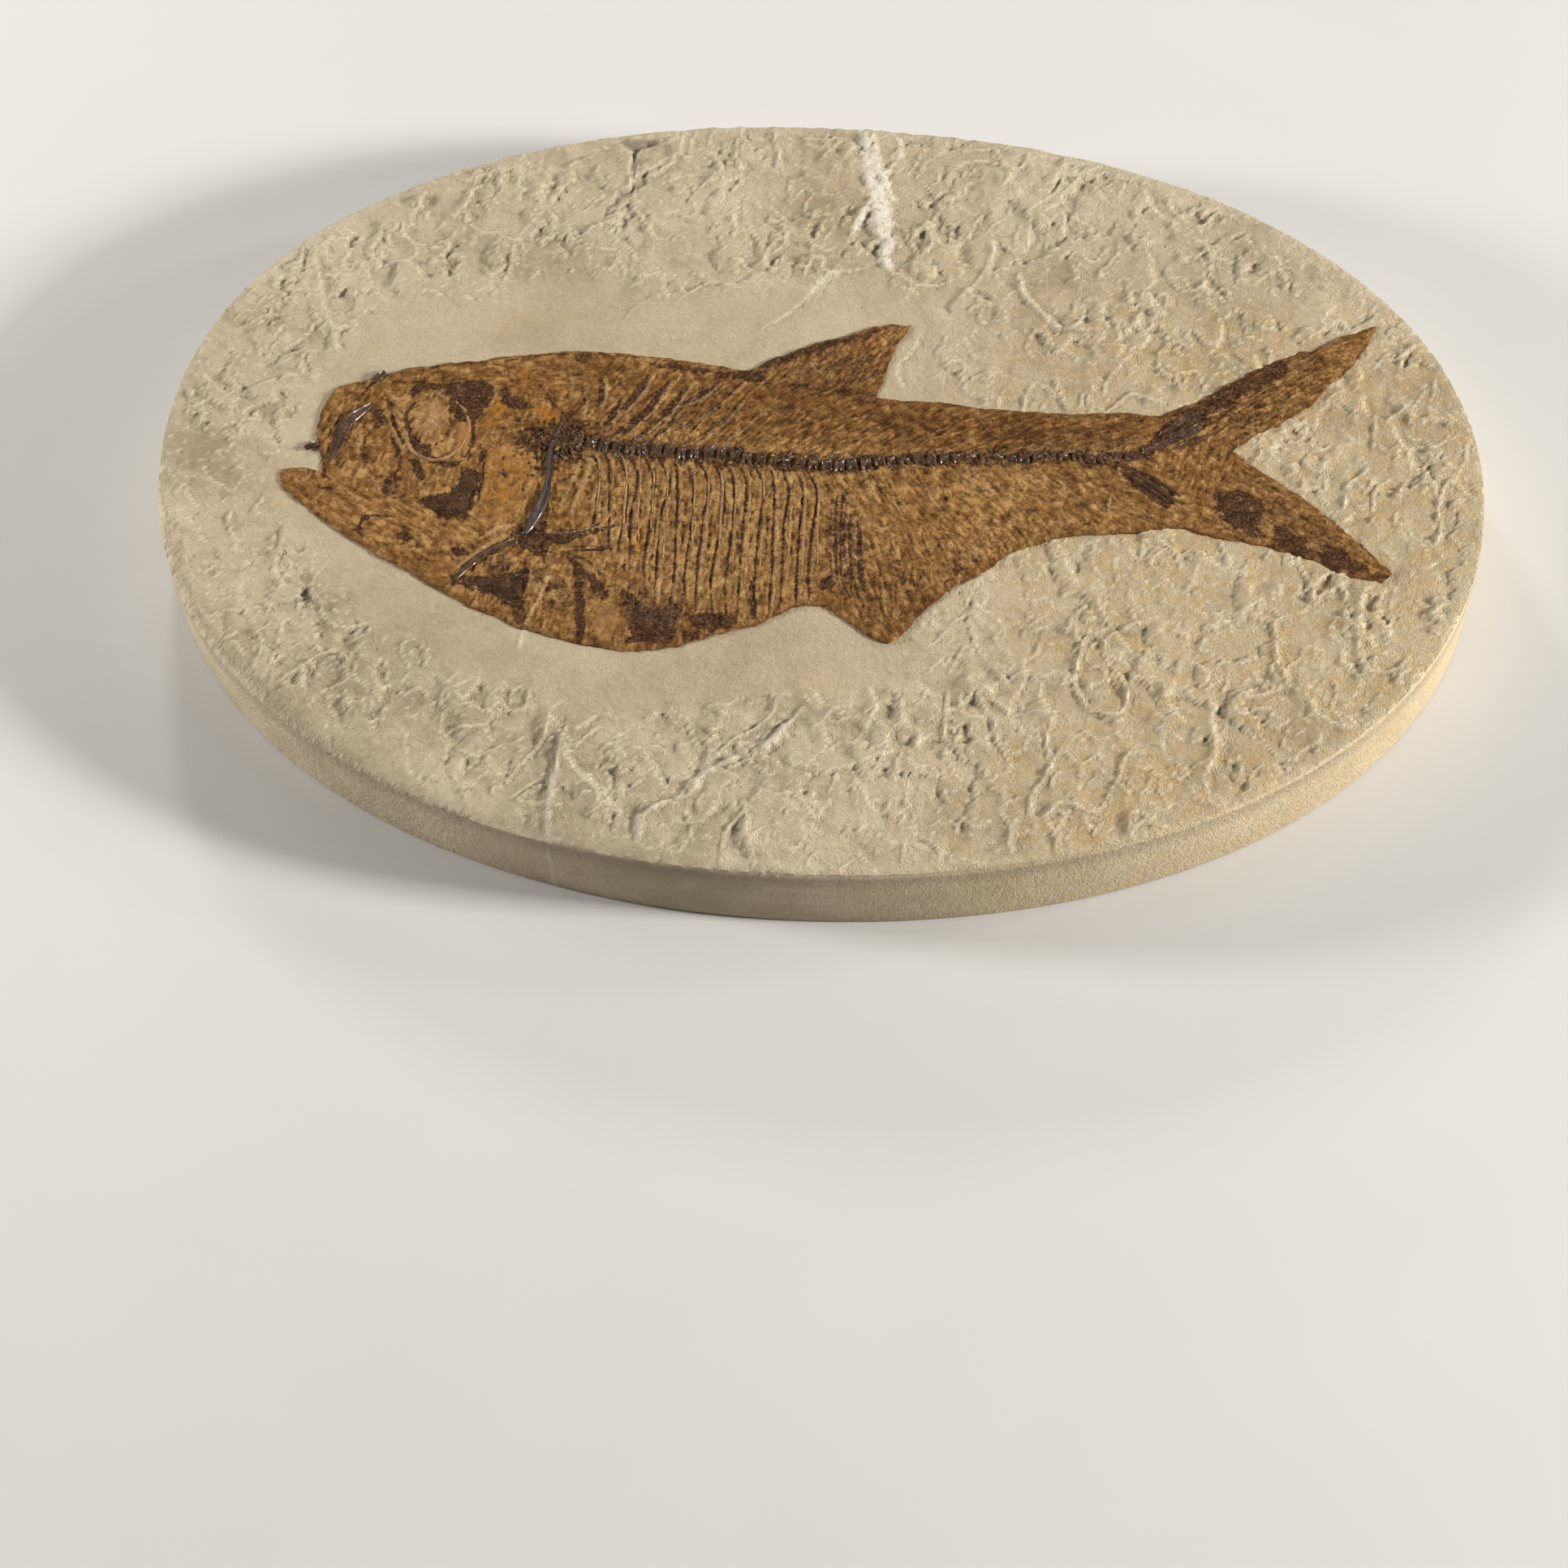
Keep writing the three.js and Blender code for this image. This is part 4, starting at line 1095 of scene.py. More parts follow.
def layDarkShapes(skin):
    # back edge before the fin, and the fin's dark leading edge
    skin.line([(-46, 34.4, 0.5), (-36, 33.6, 0.9), (-26, 32.4, 1.2), (-20, 34, 1.5), (-13, 39, 1.7),
               (-4, 43.6, 1.5), (5, 47.6, 1.0), (12, 51, 0.5)], soft=0.7, ragged=0.6, ink=0.8, lift=0.1)
    skin.patch([(-44, 35), (-40, 32.6), (-36, 33.8), (-40, 35.2)], ink=0.85)
    skin.patch([(-29, 32), (-22, 30.6), (-17, 31), (-19, 34.4), (-24, 34.6)], ink=0.9)
    skin.line([(-20, 31.4, 0.6), (-10, 30.4, 0.9), (0, 29.2, 0.8), (10, 28.4, 0.5)], soft=0.6, ragged=0.5,
              ink=0.6)
    skin.line([(-112, 26.4, 0.4), (-96, 31, 0.6), (-80, 34.6, 0.6), (-62, 37, 0.7), (-46, 37, 0.6)],
              soft=0.5, ragged=0.6, ink=0.55)
    skin.patch([(-66, 37), (-62, 37), (-63, 33.4), (-65, 33.6)], ink=0.7)
    # belly: dark panels with upright glossy streaks, their sheen also painted into the colour
    skin.patch([(-45.6, -39), (-41, -42), (-38, -45), (-31, -43), (-29.6, -40), (-30.4, -50),
                (-31.6, -55.6), (-37, -56), (-41.6, -55.6), (-41.8, -48), (-44, -45)], soft=0.7, ragged=0.9,
               ink=0.95, lift=-0.1)
    for x in (-42.4, -40, -37.6, -34.8, -32.4, -30.6):
        skin.line([(x, -37), (x + 0.3, -43), (x + 0.8, -51)], 0.34, soft=0.3, ragged=0.3, sheen=0.9,
                  ink=0.6, lift=0.16)
    skin.patch([(-28.4, -46.4), (-22, -45), (-15.6, -46), (-16.6, -49), (-21, -51), (-26, -50.4)],
               soft=0.6, ragged=0.8, ink=0.95)
    skin.patch([(-29, -52), (-26, -51), (-24, -53), (-28, -54.6)], soft=0.5, ink=0.8)
    skin.patch([(-50.6, -45), (-48, -43.6), (-45.6, -46), (-45.4, -52), (-46.4, -56), (-50, -55),
                (-51, -50)], ragged=1.2, tan=0.45, lift=0.16)
    skin.patch([(-60.6, -29.6), (-56, -32), (-50, -38), (-47.4, -43), (-49.6, -43), (-53, -39),
                (-56.6, -35)], soft=0.6, ragged=0.6, ink=0.85)
    skin.line([(-57.4, -33, 0.5), (-55.4, -42, 1.1), (-54, -50, 1.3), (-53.4, -56.6, 0.9)],
              soft=0.4, ragged=0.4, ink=1.0, lift=-0.15)
    skin.line([(-13.6, -35, 0.5), (-12.4, -41, 0.8), (-11.6, -46, 0.7)], soft=0.4, ragged=0.4, ink=0.9)
    skin.patch([(3, -33), (6, -32), (7, -35), (4, -36)], ink=0.9)
    skin.patch([(-46, -24), (-42, -23.6), (-41.8, -28), (-45.6, -28.6)], soft=0.6, ragged=0.7, orange=0.6,
               ink=0.45)
    # the small fin behind the shoulder
    for rows in ([(-64, -25), (-58, -23.6), (-50, -20), (-46, -18)], [(-60, -27), (-54, -26.6), (-47, -27)],
                 [(-61, -28.6), (-55, -31), (-50, -36)], [(-61, -29), (-57, -34), (-54, -42)]):
        skin.line(rows, 0.5, soft=0.4, ragged=0.4, ink=0.8, lift=-0.08)
    skin.patch([(-64, -23), (-60, -21), (-57, -23.6), (-61, -26.6), (-65, -26)], soft=0.6, ragged=0.7,
               ink=0.9)
    # tail: dark band on the upper lobe, patches on the lower one
    skin.patch([(78, 11.6), (84, 16), (90, 21.6), (97, 29), (104, 35), (110, 39), (114.6, 44), (113, 48),
                (106, 44), (98, 37.6), (93, 33), (86, 26), (81, 19)], soft=0.9, ragged=1.0, ink=0.8)
    skin.patch([(98, 3), (104, 3.6), (110, 0), (110.6, -5), (107, -9), (102, -7.6), (98.6, -2)],
               soft=0.8, ragged=1.2, ink=0.85)
    skin.patch([(113, -6.4), (117, -8), (121.6, -11), (122, -15.6), (118, -16), (114, -12)],
               soft=0.7, ragged=1.0, ink=0.85)
    skin.patch([(124, -12), (129, -13), (137, -19), (135.6, -21), (129, -20), (125, -16)],
               soft=0.7, ragged=1.0, ink=0.85)
    skin.patch([(138, -19.6), (141, -20), (143.4, -21.4), (139, -22)], soft=0.5, ink=0.8)
    skin.patch([(76, 10), (80, 8), (86, 2), (89, -1.6), (86, -3), (80, 1), (75, 6)], soft=0.7, ragged=0.7,
               ink=0.75)
    for x, y, wide in ((37, -27, 2.2), (53, -7, 1.8), (67, -10, 1.4), (34, -31, 1.6), (66, 20, 1.2),
                       (40, -24, 1.4), (71, 18, 1)):
        skin.patch([(x - wide, y), (x, y - wide * 0.7), (x + wide, y + 0.4), (x, y + wide * 0.7)],
                   soft=0.6, ragged=0.8, ink=0.75)
    for shift in (-1.8, -0.4, 1.2, 2.6):
        skin.line([(68 + shift, 12.6), (74 + shift, 9.4), (82 + shift, 3.4), (89 + shift, -1.6)], 0.34,
                  soft=0.3, ragged=0.4, ink=0.95, lift=0.12)
        skin.line([(76, 12 + shift * 0.5), (84, 17.4 + shift), (93, 25 + shift * 1.3),
                   (103, 33 + shift * 1.6)], 0.34, soft=0.3, ragged=0.4, ink=0.95, lift=0.14)
    # the dark strip the backbone lies in
    bed = [(x, y, np.interp(x, [-74, -60, 0, 60, 98], [2.6, 3.4, 3.1, 2.3, 1.6])) for x, y in backboneLine]
    skin.line(bed, soft=1.3, ragged=1.2, ink=0.62, lift=0.12)
    # pale cracks
    skin.line([(-62.6, -33, 0.15), (-64, -40, 0.35), (-65.6, -46, 0.4), (-67, -52, 0.4),
               (-67.6, -56, 0.35)], soft=0.3, ragged=0.3, pale=1.0, lift=0.16)
    skin.line([(73, 1), (72.4, -5), (74.4, -12)], 0.3, soft=0.3, pale=0.8, lift=0.1)
    skin.line([(94, 34), (93.4, 31), (91, 27)], 0.35, soft=0.3, pale=0.9, lift=0.1)
    skin.line([(39, -17), (41, -21), (40, -24)], 0.4, soft=0.4, pale=0.7, lift=0.1)
    skin.line([(-57, 5), (-58.4, -4), (-60.4, -17)], 0.7, soft=0.5, ragged=0.3, tan=0.9, pale=0.3, lift=0.3)
    skin.line([(-60, 4), (-61.6, -6), (-63.4, -14)], 0.4, soft=0.4, ragged=0.3, pale=0.6, lift=0.2)


def layHead(skin, rand):
    # eye: a tan disc in a dark ring, with an orange crescent behind it
    skin.patch([(-103.8, 12), (-102.6, 16.6), (-99.8, 18.2), (-96.6, 16.2), (-95.6, 12), (-96, 8),
                (-97.6, 5.8), (-100, 5.4), (-102.8, 7.6)], soft=1.1, ragged=0.7, tan=0.6, lift=0.34)
    skin.line([(-95.4, 16), (-94.4, 11), (-95, 6), (-98, 3.6), (-101.6, 4.6)], 0.5, soft=0.4, ragged=0.6,
              ink=0.6, lift=-0.12)
    skin.line([(-104.4, 17, 0.3), (-106, 13, 0.6), (-104.6, 8, 0.9), (-101.6, 3, 1.1), (-97.6, -1, 1.2),
               (-93, -2.8, 0.9), (-89.6, -1, 0.5)], soft=0.4, ragged=0.4, ink=0.9, lift=-0.2)
    skin.line([(-103.2, 9), (-101, 4.6), (-98, 1.2), (-94.6, 0)], 0.4, soft=0.3, ragged=0.3, ink=0.7,
              lift=-0.12)
    skin.line([(-92, 14, 0.6), (-90.6, 9, 1.4), (-90.2, 5, 1.5), (-91.4, 1.6, 0.8)], soft=0.6, ragged=0.5,
              orange=0.55, tan=0.8, lift=0.25)
    skin.line([(-89, 15, 0.4), (-88.2, 9, 0.6), (-88.4, 3, 0.5), (-90, -0.6, 0.4)], soft=0.3, ragged=0.3,
              ink=0.8, lift=-0.1)
    skin.patch([(-99.6, 18.4), (-98.4, 18.6), (-97.6, 12), (-98.6, 8), (-100, 11)], soft=0.7, ragged=0.6,
               pale=0.4)
    skin.patch([(-106, 22), (-104, 24.6), (-98, 24), (-92, 25.6), (-86, 25), (-84.4, 21), (-86, 16),
                (-89, 12.6), (-93, 12), (-95, 15), (-96, 20), (-98, 22.4), (-102, 21.4), (-105, 19.8)],
               soft=0.8, ragged=0.9, ink=0.95, lift=-0.12)
    skin.line([(-109, 24, 0.3), (-104, 23.6, 0.8), (-98, 23, 0.9), (-90, 24.6, 0.8), (-84.6, 24, 0.4)],
              soft=0.5, ragged=0.5, ink=0.8)
    # snout and lines before the eye
    for rows, half, dark in (
            ([(-114.6, 25), (-117, 21), (-118.6, 17)], 0.5, 0.85),
            ([(-112, 18), (-108, 14.6), (-105, 12)], 0.4, 0.85),
            ([(-110, 14), (-107.6, 8), (-104.4, 2)], 0.7, 0.8),
            ([(-108.4, 5), (-106.6, 1), (-105.4, -3), (-106, -9)], 0.7, 0.8),
            ([(-114, 20), (-111, 16), (-109, 12)], 0.35, 0.5),
            ([(-113.4, 12), (-115, 6), (-115, 1), (-113, -4)], 0.4, 0.55),
            ([(-116.4, 3), (-115, -1), (-113.4, -4)], 0.5, 0.6),
            ([(-124, -4.6), (-123.6, -8), (-121, -10)], 0.6, 0.75),
            ([(-126, -8), (-124, -12), (-118, -13.2)], 0.55, 0.75),
            ([(-131, -6.6), (-126.6, -6.2), (-124, -7)], 0.5, 0.6),
            ([(-119, -6), (-115, -4.6), (-111, -5.6), (-108, -9)], 0.3, 0.4),
            ([(-121, -18), (-116, -17.4), (-111, -18)], 0.35, 0.4),
            ([(-105, -20.4), (-109, -20.6), (-112, -22), (-112.4, -26), (-110.6, -29)], 0.6, 0.85),
            ([(-84.4, 3), (-84, -4), (-84, -11), (-83.4, -18)], 0.45, 0.8),
            ([(-86, 5), (-85, 1), (-85.4, -3)], 0.8, 0.7),
            ([(-79.6, 4), (-79.6, -1), (-78.6, -6)], 0.3, 0.55),
            ([(-76, 0), (-77, -6), (-78, -12)], 0.25, 0.4),
            ([(-75.4, 28), (-71.6, 23), (-69.6, 19.6), (-66.4, 17)], 0.55, 0.8),
            ([(-78, 29.6), (-73, 27), (-69, 21)], 0.35, 0.5),
            ([(-90, -3), (-88, -8), (-88.6, -13)], 0.8, 0.8),
            ([(-104, -28), (-99, -31), (-96, -34)], 0.4, 0.55),
            ([(-99, -26), (-97, -30), (-99, -33)], 0.4, 0.5),
            ([(-93, -27), (-91, -33), (-93, -38)], 0.35, 0.4),
            ([(-88, -38), (-84, -41), (-80, -44)], 0.5, 0.8),
            ([(-110, -16), (-104, -14), (-99, -14)], 0.4, 0.6)):
        skin.line(rows, half, soft=0.35, ragged=0.35, ink=dark, lift=-0.14)
    for rows, amount in (([(-112.6, 21), (-107, 15), (-105.4, 10), (-106.6, 3)], 0.5),
                         ([(-109.4, 10), (-107, 5), (-105, 1)], 0.6),
                         ([(-117.4, 9), (-116.4, 4), (-116, -2)], 0.5),
                         ([(-102, 20), (-99, 20.6), (-96, 19)], 0.4),
                         ([(-116, -6), (-112, -8), (-109, -12)], 0.35),
                         ([(-82, -26), (-78, -22.6), (-74, -21)], 0.9),
                         ([(-85.4, -9), (-85, -12.6), (-85.6, -15.6)], 0.8),
                         ([(-86.6, -36), (-82.6, -31), (-78, -26.4), (-74.6, -24)], 0.6),
                         ([(-71.6, -20), (-72.6, -13), (-71.6, -5), (-71.4, 0)], 0.5)):
        skin.line(rows, 0.6, soft=0.45, ragged=0.3, pale=amount * 0.7, tan=amount, lift=0.24)
    for outline, dark in (
            ([(-114.6, 9), (-114.6, 13), (-112, 14), (-110.6, 11), (-112, 8.6)], 0.9),
            ([(-103, -1.6), (-100.6, -2), (-98.4, -6), (-99, -8.6), (-101.6, -6)], 0.85),
            ([(-107, -6), (-104.4, -8), (-104.6, -13), (-108, -13), (-109, -11)], 0.75),
            ([(-82.4, 24), (-80, 22), (-77, 20), (-75.6, 16.6), (-79, 17), (-82, 19)], 0.9),
            ([(-89, -3), (-85, -5), (-84.6, -14), (-86, -18.6), (-91, -20.4), (-95.4, -17.6),
              (-98.8, -14.6), (-96, -12.4), (-91, -11)], 0.85),
            ([(-103.6, -26), (-100, -25), (-98.8, -27.6), (-101, -29)], 0.8),
            ([(-89, -29.6), (-85.4, -29.4), (-84.8, -31.8), (-88, -32)], 0.95),
            ([(-72, 8), (-69, 10.4), (-64, 12), (-58, 9), (-57, 4), (-62, 1), (-66, 3), (-71, 4)], 0.5),
            ([(-66, 17), (-63.6, 16), (-63, 8), (-66.6, 6), (-68, 12)], 0.7),
            ([(-68.6, -20), (-66.4, -20), (-64, -26), (-64.6, -33), (-68, -30), (-72.6, -27), (-75, -24.6),
              (-73, -21.6)], 0.85), ([(-83, -38.6), (-76, -37.4), (-70, -34.6), (-68.6, -33), (-68, -44),
                                      (-70, -48), (-78, -44), (-82, -41.4)], 0.9),
            ([(-86.6, -37), (-83, -39), (-82.6, -42), (-86.6, -41)], 0.8),
            ([(-72, -46), (-68, -44), (-67.6, -52), (-70.4, -51)], 0.7)):
        skin.patch(outline, soft=0.7, ragged=0.9, ink=dark, lift=-0.05)
    # plates that stand up a little
    for outline, amount in (
            ([(-79.6, -33.4), (-77, -30.4), (-73.6, -31), (-72, -34), (-74, -37), (-78, -37)], 1.0),
            ([(-68.6, -36), (-66.4, -33.6), (-64, -35.6), (-64.6, -40.6), (-67, -42.6), (-68.8, -40.6)], 1.0),
            ([(-62.4, -38), (-60, -36.6), (-57.6, -39.6), (-58, -46), (-61, -47.4), (-62.6, -43)], 0.7)):
        skin.patch(outline, soft=1.6, ragged=0.6, ink=0.55)
        skin.patch(outline, soft=0.7, ragged=0.6, tan=amount * 0.7, lift=0.45)
    skin.patch([(-84, 2.6), (-79, 4.6), (-73.6, 3.6), (-71, -3), (-70.6, -12), (-73.6, -19.6), (-80, -20),
                (-83.8, -17), (-84.6, -6)], soft=1.6, ragged=0.4, lift=0.3, orange=0.35, tan=0.3)
    for x, y, wide, amount in ((-83, 17, 2.6, 0.85), (-70, 14, 2.6, 0.8), (-84, 13, 1.6, 0.7),
                               (-72.6, 17, 1.6, 0.5), (-78, 28, 2, 0.35), (-106, -6.6, 0.9, 0.8),
                               (-83, 12, 1.4, 0.6), (-68, 24, 2.4, 0.3)):
        skin.patch([(x - wide, y), (x, y - wide), (x + wide, y), (x, y + wide * 1.2)], soft=1.2, ragged=1.1,
                   orange=min(1.3 * amount, 1), lift=0.08)
    # rough black specks where head and backbone meet
    for _ in range(film["specks"]):
        x, y = rand.gauss(-67, 5.2), rand.gauss(6, 4.4)
        wide = rand.uniform(0.3, 0.8)
        skin.patch([(x - wide, y), (x, y - wide), (x + wide, y), (x, y + wide)], soft=0.35, ragged=0.3,
                   ink=1.0, lift=rand.uniform(-0.05, 0.35))
    # fine lines over the cheek and the skull roof
    for _ in range(film["skullLines"]):
        x, y = rand.uniform(-120, -72), rand.uniform(-34, 30)
        turn = math.radians(rand.gauss(80 if y > 0 else 30, 30))
        reach = rand.uniform(2, 6)
        rows = [(x, y), (x + reach * math.cos(turn) * 0.5 + 0.3, y + reach * math.sin(turn) * 0.5),
                (x + reach * math.cos(turn), y + reach * math.sin(turn))]
        skin.line(rows, 0.26, soft=0.26, ragged=0.3, ink=rand.uniform(0.25, 0.6), lift=-0.08)


def makeFilm():
    outline = fishLine + fishPlace
    piece = cutSheet("fish_skin_film", outline, film["spacing"])
    points = groundPoints(piece)
    rand = random.Random(film["seed"])
    skin = Surface(points - fishPlace, skinLayers, 0.9)
    x, y = skin.x, skin.y
    lift = skin.layers["lift"]
    fibre = fibreField(x, y, 0.7, 2.6, 30) + 0.6 * fibreField(x, y, 1.3, 5.5, 60)
    lumps = noiseField(x, y, 2.6, 4.4)
    pits = noiseField(x, y, 1.15, 6.1)
    rugged = 0.26 * lumps + 0.24 * pits + 0.18 * fibre
    lift += 0.16 * noiseField(x, y, 9, 2.2) + np.where(rugged < 0, rugged * 0.55, rugged * 1.2)
    for midX, midY, wide, tall, amount in tones:
        near = np.exp(-((x - midX) / wide) ** 2 - ((y - midY) / tall) ** 2)
        skin.layers["deep"] += amount * near
    skin.layers["deep"] = np.clip(skin.layers["deep"] * 0.5 + 0.5, 0, 1)
    skin.layers["fibre"] = 0.5 + 0.42 * fibre + 0.16 * lumps + 0.14 * pits
    layRibs(skin, rand)
    laySpines(skin, rand)
    layFins(skin, rand)
    layDarkShapes(skin)
    layHead(skin, rand)
    rim = edgeDistance(points, outline)
    # painted shadow: the skin darkens along its outline, where the raised film edge casts a thin shadow
    skin.layers["rim"] = np.exp(-rim / 0.7)
    inner = smoothStep(0, 1.3, rim)
    heights = film["edge"] + (film["top"] - film["edge"]) * inner
    heights += skin.layers["lift"] * (0.25 + 0.75 * inner)
    setHeights(piece, np.clip(heights, film["foot"] + 0.3, film["highest"]))
    skin.store(piece.data)
    dropSides(piece, [(film["foot"], 1, 1)])
    smoothFaces(piece, 75)
    print("film made,", len(piece.data.polygons), "faces")
    return piece


def skinMaterial():
    material, wire = startMaterial("brown fossil skin")
    place = stretched(wire)
    broad = grain(wire, place, 11, 0.6, 4, 0.5)
    mottle = grain(wire, place, 2.6, 0.68, 4, 0.4)
    speck = grain(wire, place, 0.75, 0.65, 3)
    fineGrainAndGlints = grain(wire, place, 0.28, 0.6, 2)
    crumpled = grain(wire, place, 4.2, 0.6, 3, 0.9)
    mix = broad * 0.24 + mottle * 0.36 + speck * 0.13 + layer(wire, "fibre") * 0.27
    mix = mix - (layer(wire, "deep") - 0.5) * 0.12
    stops = [(0.38, film["shadeTone"]), (0.49, film["skinTone"]), (0.60, film["tanTone"])]
    colour = wire.node("ValToRGB", {"stops": stops}, {"Fac": mix})
    colour = over(creases(crumpled, 0.035) * broad.between(0.40, 0.52) * 0.55, colour, (0.070, 0.030, 0.012))
    colour = over(layer(wire, "tan") * 0.7, colour, (0.42, 0.245, 0.105))
    colour = over((layer(wire, "orange") * mottle.between(0.35, 0.55)).clamped() * 0.9, colour,
                  film["orangeTone"])
    colour = over(layer(wire, "pale") * speck.between(0.3, 0.6) * 0.8, colour, (0.58, 0.41, 0.225))
    ragged = (mottle * 0.6 + speck * 0.1 + layer(wire, "fibre") * 0.3 - 0.5) * 1.9
    broken = (layer(wire, "ink") - ragged).between(0.18, 0.80)
    inked = over((mottle * 0.5 + speck * 0.5).between(0.35, 0.65), film["inkTone"], film["wornInkTone"])
    colour = over(broken, colour, inked)
    # painted sheen: the sheen layer gives a real coat, and here also tints the colour as the reflection would
    colour = over(layer(wire, "sheen") * 0.5, colour, (0.150, 0.090, 0.062))
    # painted glints: pale specks in the dark patches
    colour = over(broken * speck.between(0.55, 0.68) * 0.35, colour, (0.30, 0.19, 0.11))
    # painted glints: small golden flecks on the skin's fine grain
    colour = over(fineGrainAndGlints.between(0.56, 0.72) * speck.between(0.45, 0.62) * 0.45, colour, (0.56, 0.35, 0.15))
    colour = over(speck.between(0.38, 0.28) * 0.2, colour, (0.075, 0.030, 0.014))
    # painted shadow along the film's edge
    colour = over(layer(wire, "rim") * 0.5, colour, (0.10, 0.045, 0.022))
    rough = 0.84 - broken * 0.1 - layer(wire, "sheen") * 0.2 + speck * 0.1
    height = mottle * 0.5 + speck * 0.55 + fineGrainAndGlints * 0.3 - creases(crumpled, 0.05) * 0.25
    return finishMaterial(wire, material, colour, rough, height, 0.85,
                          coat=layer(wire, "sheen") * 0.12, coatRough=0.4, level=0.06)


# bones that stand on the film

bones = {
    "vertebra": 3.3,  # length of one vertebra
    "seat": 23.0,  # the level that the bones lie on
    "crumbs": 150,  # broken bits along the backbone
    "crumbsAtHead": 90,
    "plateSeat": 22.9,
    "plateFoot": 22.3,
    "plateSpacing": 0.35,
    "plateSeed": 3,
    "ringRadius": 0.6,  # the eye ring's own thickness, halved
    "rodLevel": 23.05,  # height of the rib rods' middles
    "rodSeed": 21,
    "seed": 9,
}


# rows in the fish's own mm, moved to where the fish lies
def onSlab(rows):
    return [(row[0] + fishPlace[0], row[1] + fishPlace[1], *row[2:]) for row in rows]


def oneVertebra():
    rows = [(0.0, 0, 0.78), (0.28, 0, 1.0), (0.8, 0, 0.84), (1.5, 0, 0.72), (2.2, 0, 0.84), (2.75, 0, 1.0),
            (3.0, 0, 0.80)]
    return pullBone("one_vertebra", rows, 1.0, seat=0, sides=12, step=0.5)


# broken bits of bone strewn along the backbone and thickly where it meets the head
def crumbs(along, line, rand):
    deselectAll()
    bpy.ops.mesh.primitive_ico_sphere_add(subdivisions=1, radius=0.5 * mm)
    pattern = bpy.context.object
    made = []
    for index in range(len(along) + bones["crumbsAtHead"]):
        if index < len(along):
            x = along[index]
            y = float(np.interp(x, line[:, 0], line[:, 1])) + rand.gauss(0, 1.5)
        else:
            x, y = rand.gauss(-66, 4.2) + fishPlace[0], rand.gauss(6.5, 3.4) + fishPlace[1]
        copy = pattern.copy()
        copy.data = pattern.data.copy()
        bpy.context.collection.objects.link(copy)
        copy.scale = (rand.uniform(0.5, 1.5), rand.uniform(0.7, 2.2), rand.uniform(0.5, 1.3))
        copy.rotation_euler = (0, 0, rand.uniform(-0.7, 0.7))
        copy.location = (x * mm, y * mm, (bones["seat"] + rand.uniform(0.1, 0.45)) * mm)
        made.append(copy)
    deselectAll()
    for copy in made:
        copy.select_set(True)
    bpy.context.view_layer.objects.active = made[0]
    bpy.ops.object.transform_apply(location=True, rotation=True, scale=True)
    bpy.data.objects.remove(pattern)
    return made


def makeBackbone():
    rand = random.Random(bones["seed"])
    pattern = oneVertebra()
    line = curveThrough([(x + fishPlace[0], y + fishPlace[1], 0) for x, y in backboneLine[2:-3]], 0.1)
    travelled = np.concatenate([[0], np.cumsum(np.linalg.norm(np.diff(line[:, :2], axis=0), axis=1))])
    count = int(travelled[-1] / bones["vertebra"])
    made = []
    for index in range(count):
        at = int(np.searchsorted(travelled, index * bones["vertebra"]))
        to = min(at + 30, len(line) - 1)
        turn = math.atan2(line[to, 1] - line[at, 1], line[to, 0] - line[at, 0])
        share = index / (count - 1)
        half = np.interp(share, [0, 0.4, 0.75, 1], [2.7, 2.6, 2.0, 1.4]) * rand.uniform(0.7, 1.15)
        rise = np.interp(share, [0, 0.5, 1], [1.3, 1.2, 0.9]) * rand.uniform(0.6, 1.15)
        copy = pattern.copy()
        copy.data = pattern.data.copy()
        bpy.context.collection.objects.link(copy)
        choose(copy)
        copy.scale = (rand.uniform(0.66, 0.92), half, rise)
        copy.rotation_euler = (rand.uniform(-0.25, 0.25), 0, turn + rand.uniform(-0.14, 0.14))
        copy.location = (line[at, 0] * mm, (line[at, 1] + rand.uniform(-0.15, 0.15)) * mm,
                         (bones["seat"] - 0.05) * mm)
        bpy.ops.object.transform_apply(location=True, rotation=True, scale=True)
        made.append(copy)
        # a short spine above and below each vertebra
        centre = line[min(at + 12, len(line) - 1)]
        for side in (1, -1):
            lean = math.radians(np.interp(centre[0], [-60, 0, 70], [62, 48, 34])) * side
            if rand.random() < 0.12:
                continue
            reach = rand.uniform(3.2, 5.4) * np.interp(share, [0, 1], [1, 0.8])
            start = (centre[0] - 0.4, centre[1] + side * half * 0.5)
            rows = [(*start, 0.75), (start[0] + 0.5 * reach * math.cos(lean) + 0.2,
                                     start[1] + 0.5 * reach * math.sin(lean), 0.5),
                    (start[0] + reach * math.cos(lean), start[1] + reach * math.sin(lean), 0.2)]
            made.append(pullBone("spur", rows, bones["seat"] + 0.55, seat=bones["seat"], sides=8, step=1.2))
    bpy.data.objects.remove(pattern)
    along = [line[rand.randrange(len(line)), 0] + rand.gauss(0, 1) for _ in range(bones["crumbs"])]
    made += crumbs(along, line, rand)
    # the last stretch is one tapering rod up into the tail
    tail = [(x, y, half) for (x, y), half in zip(backboneLine[-4:], (1.4, 1.3, 1.0, 0.5))]
    made.append(pullBone("tail_rod", onSlab(tail), bones["seat"] + 0.8, seat=bones["seat"]))
    for shift in (-2.0, 1.7, 3.3):
        rows = [(84 + shift * 0.4, 18.4 - shift, 0.5), (90 + shift * 0.6, 23 - shift * 1.2, 0.75),
                (96 + shift, 27.6 - shift * 1.2, 0.3)]
        made.append(pullBone("tail_rod", onSlab(rows), bones["seat"] + 0.6, seat=bones["seat"]))
    piece = joinAll(made, "spine_column")
    finishBone(piece, 0.26, 0.8)
    return piece


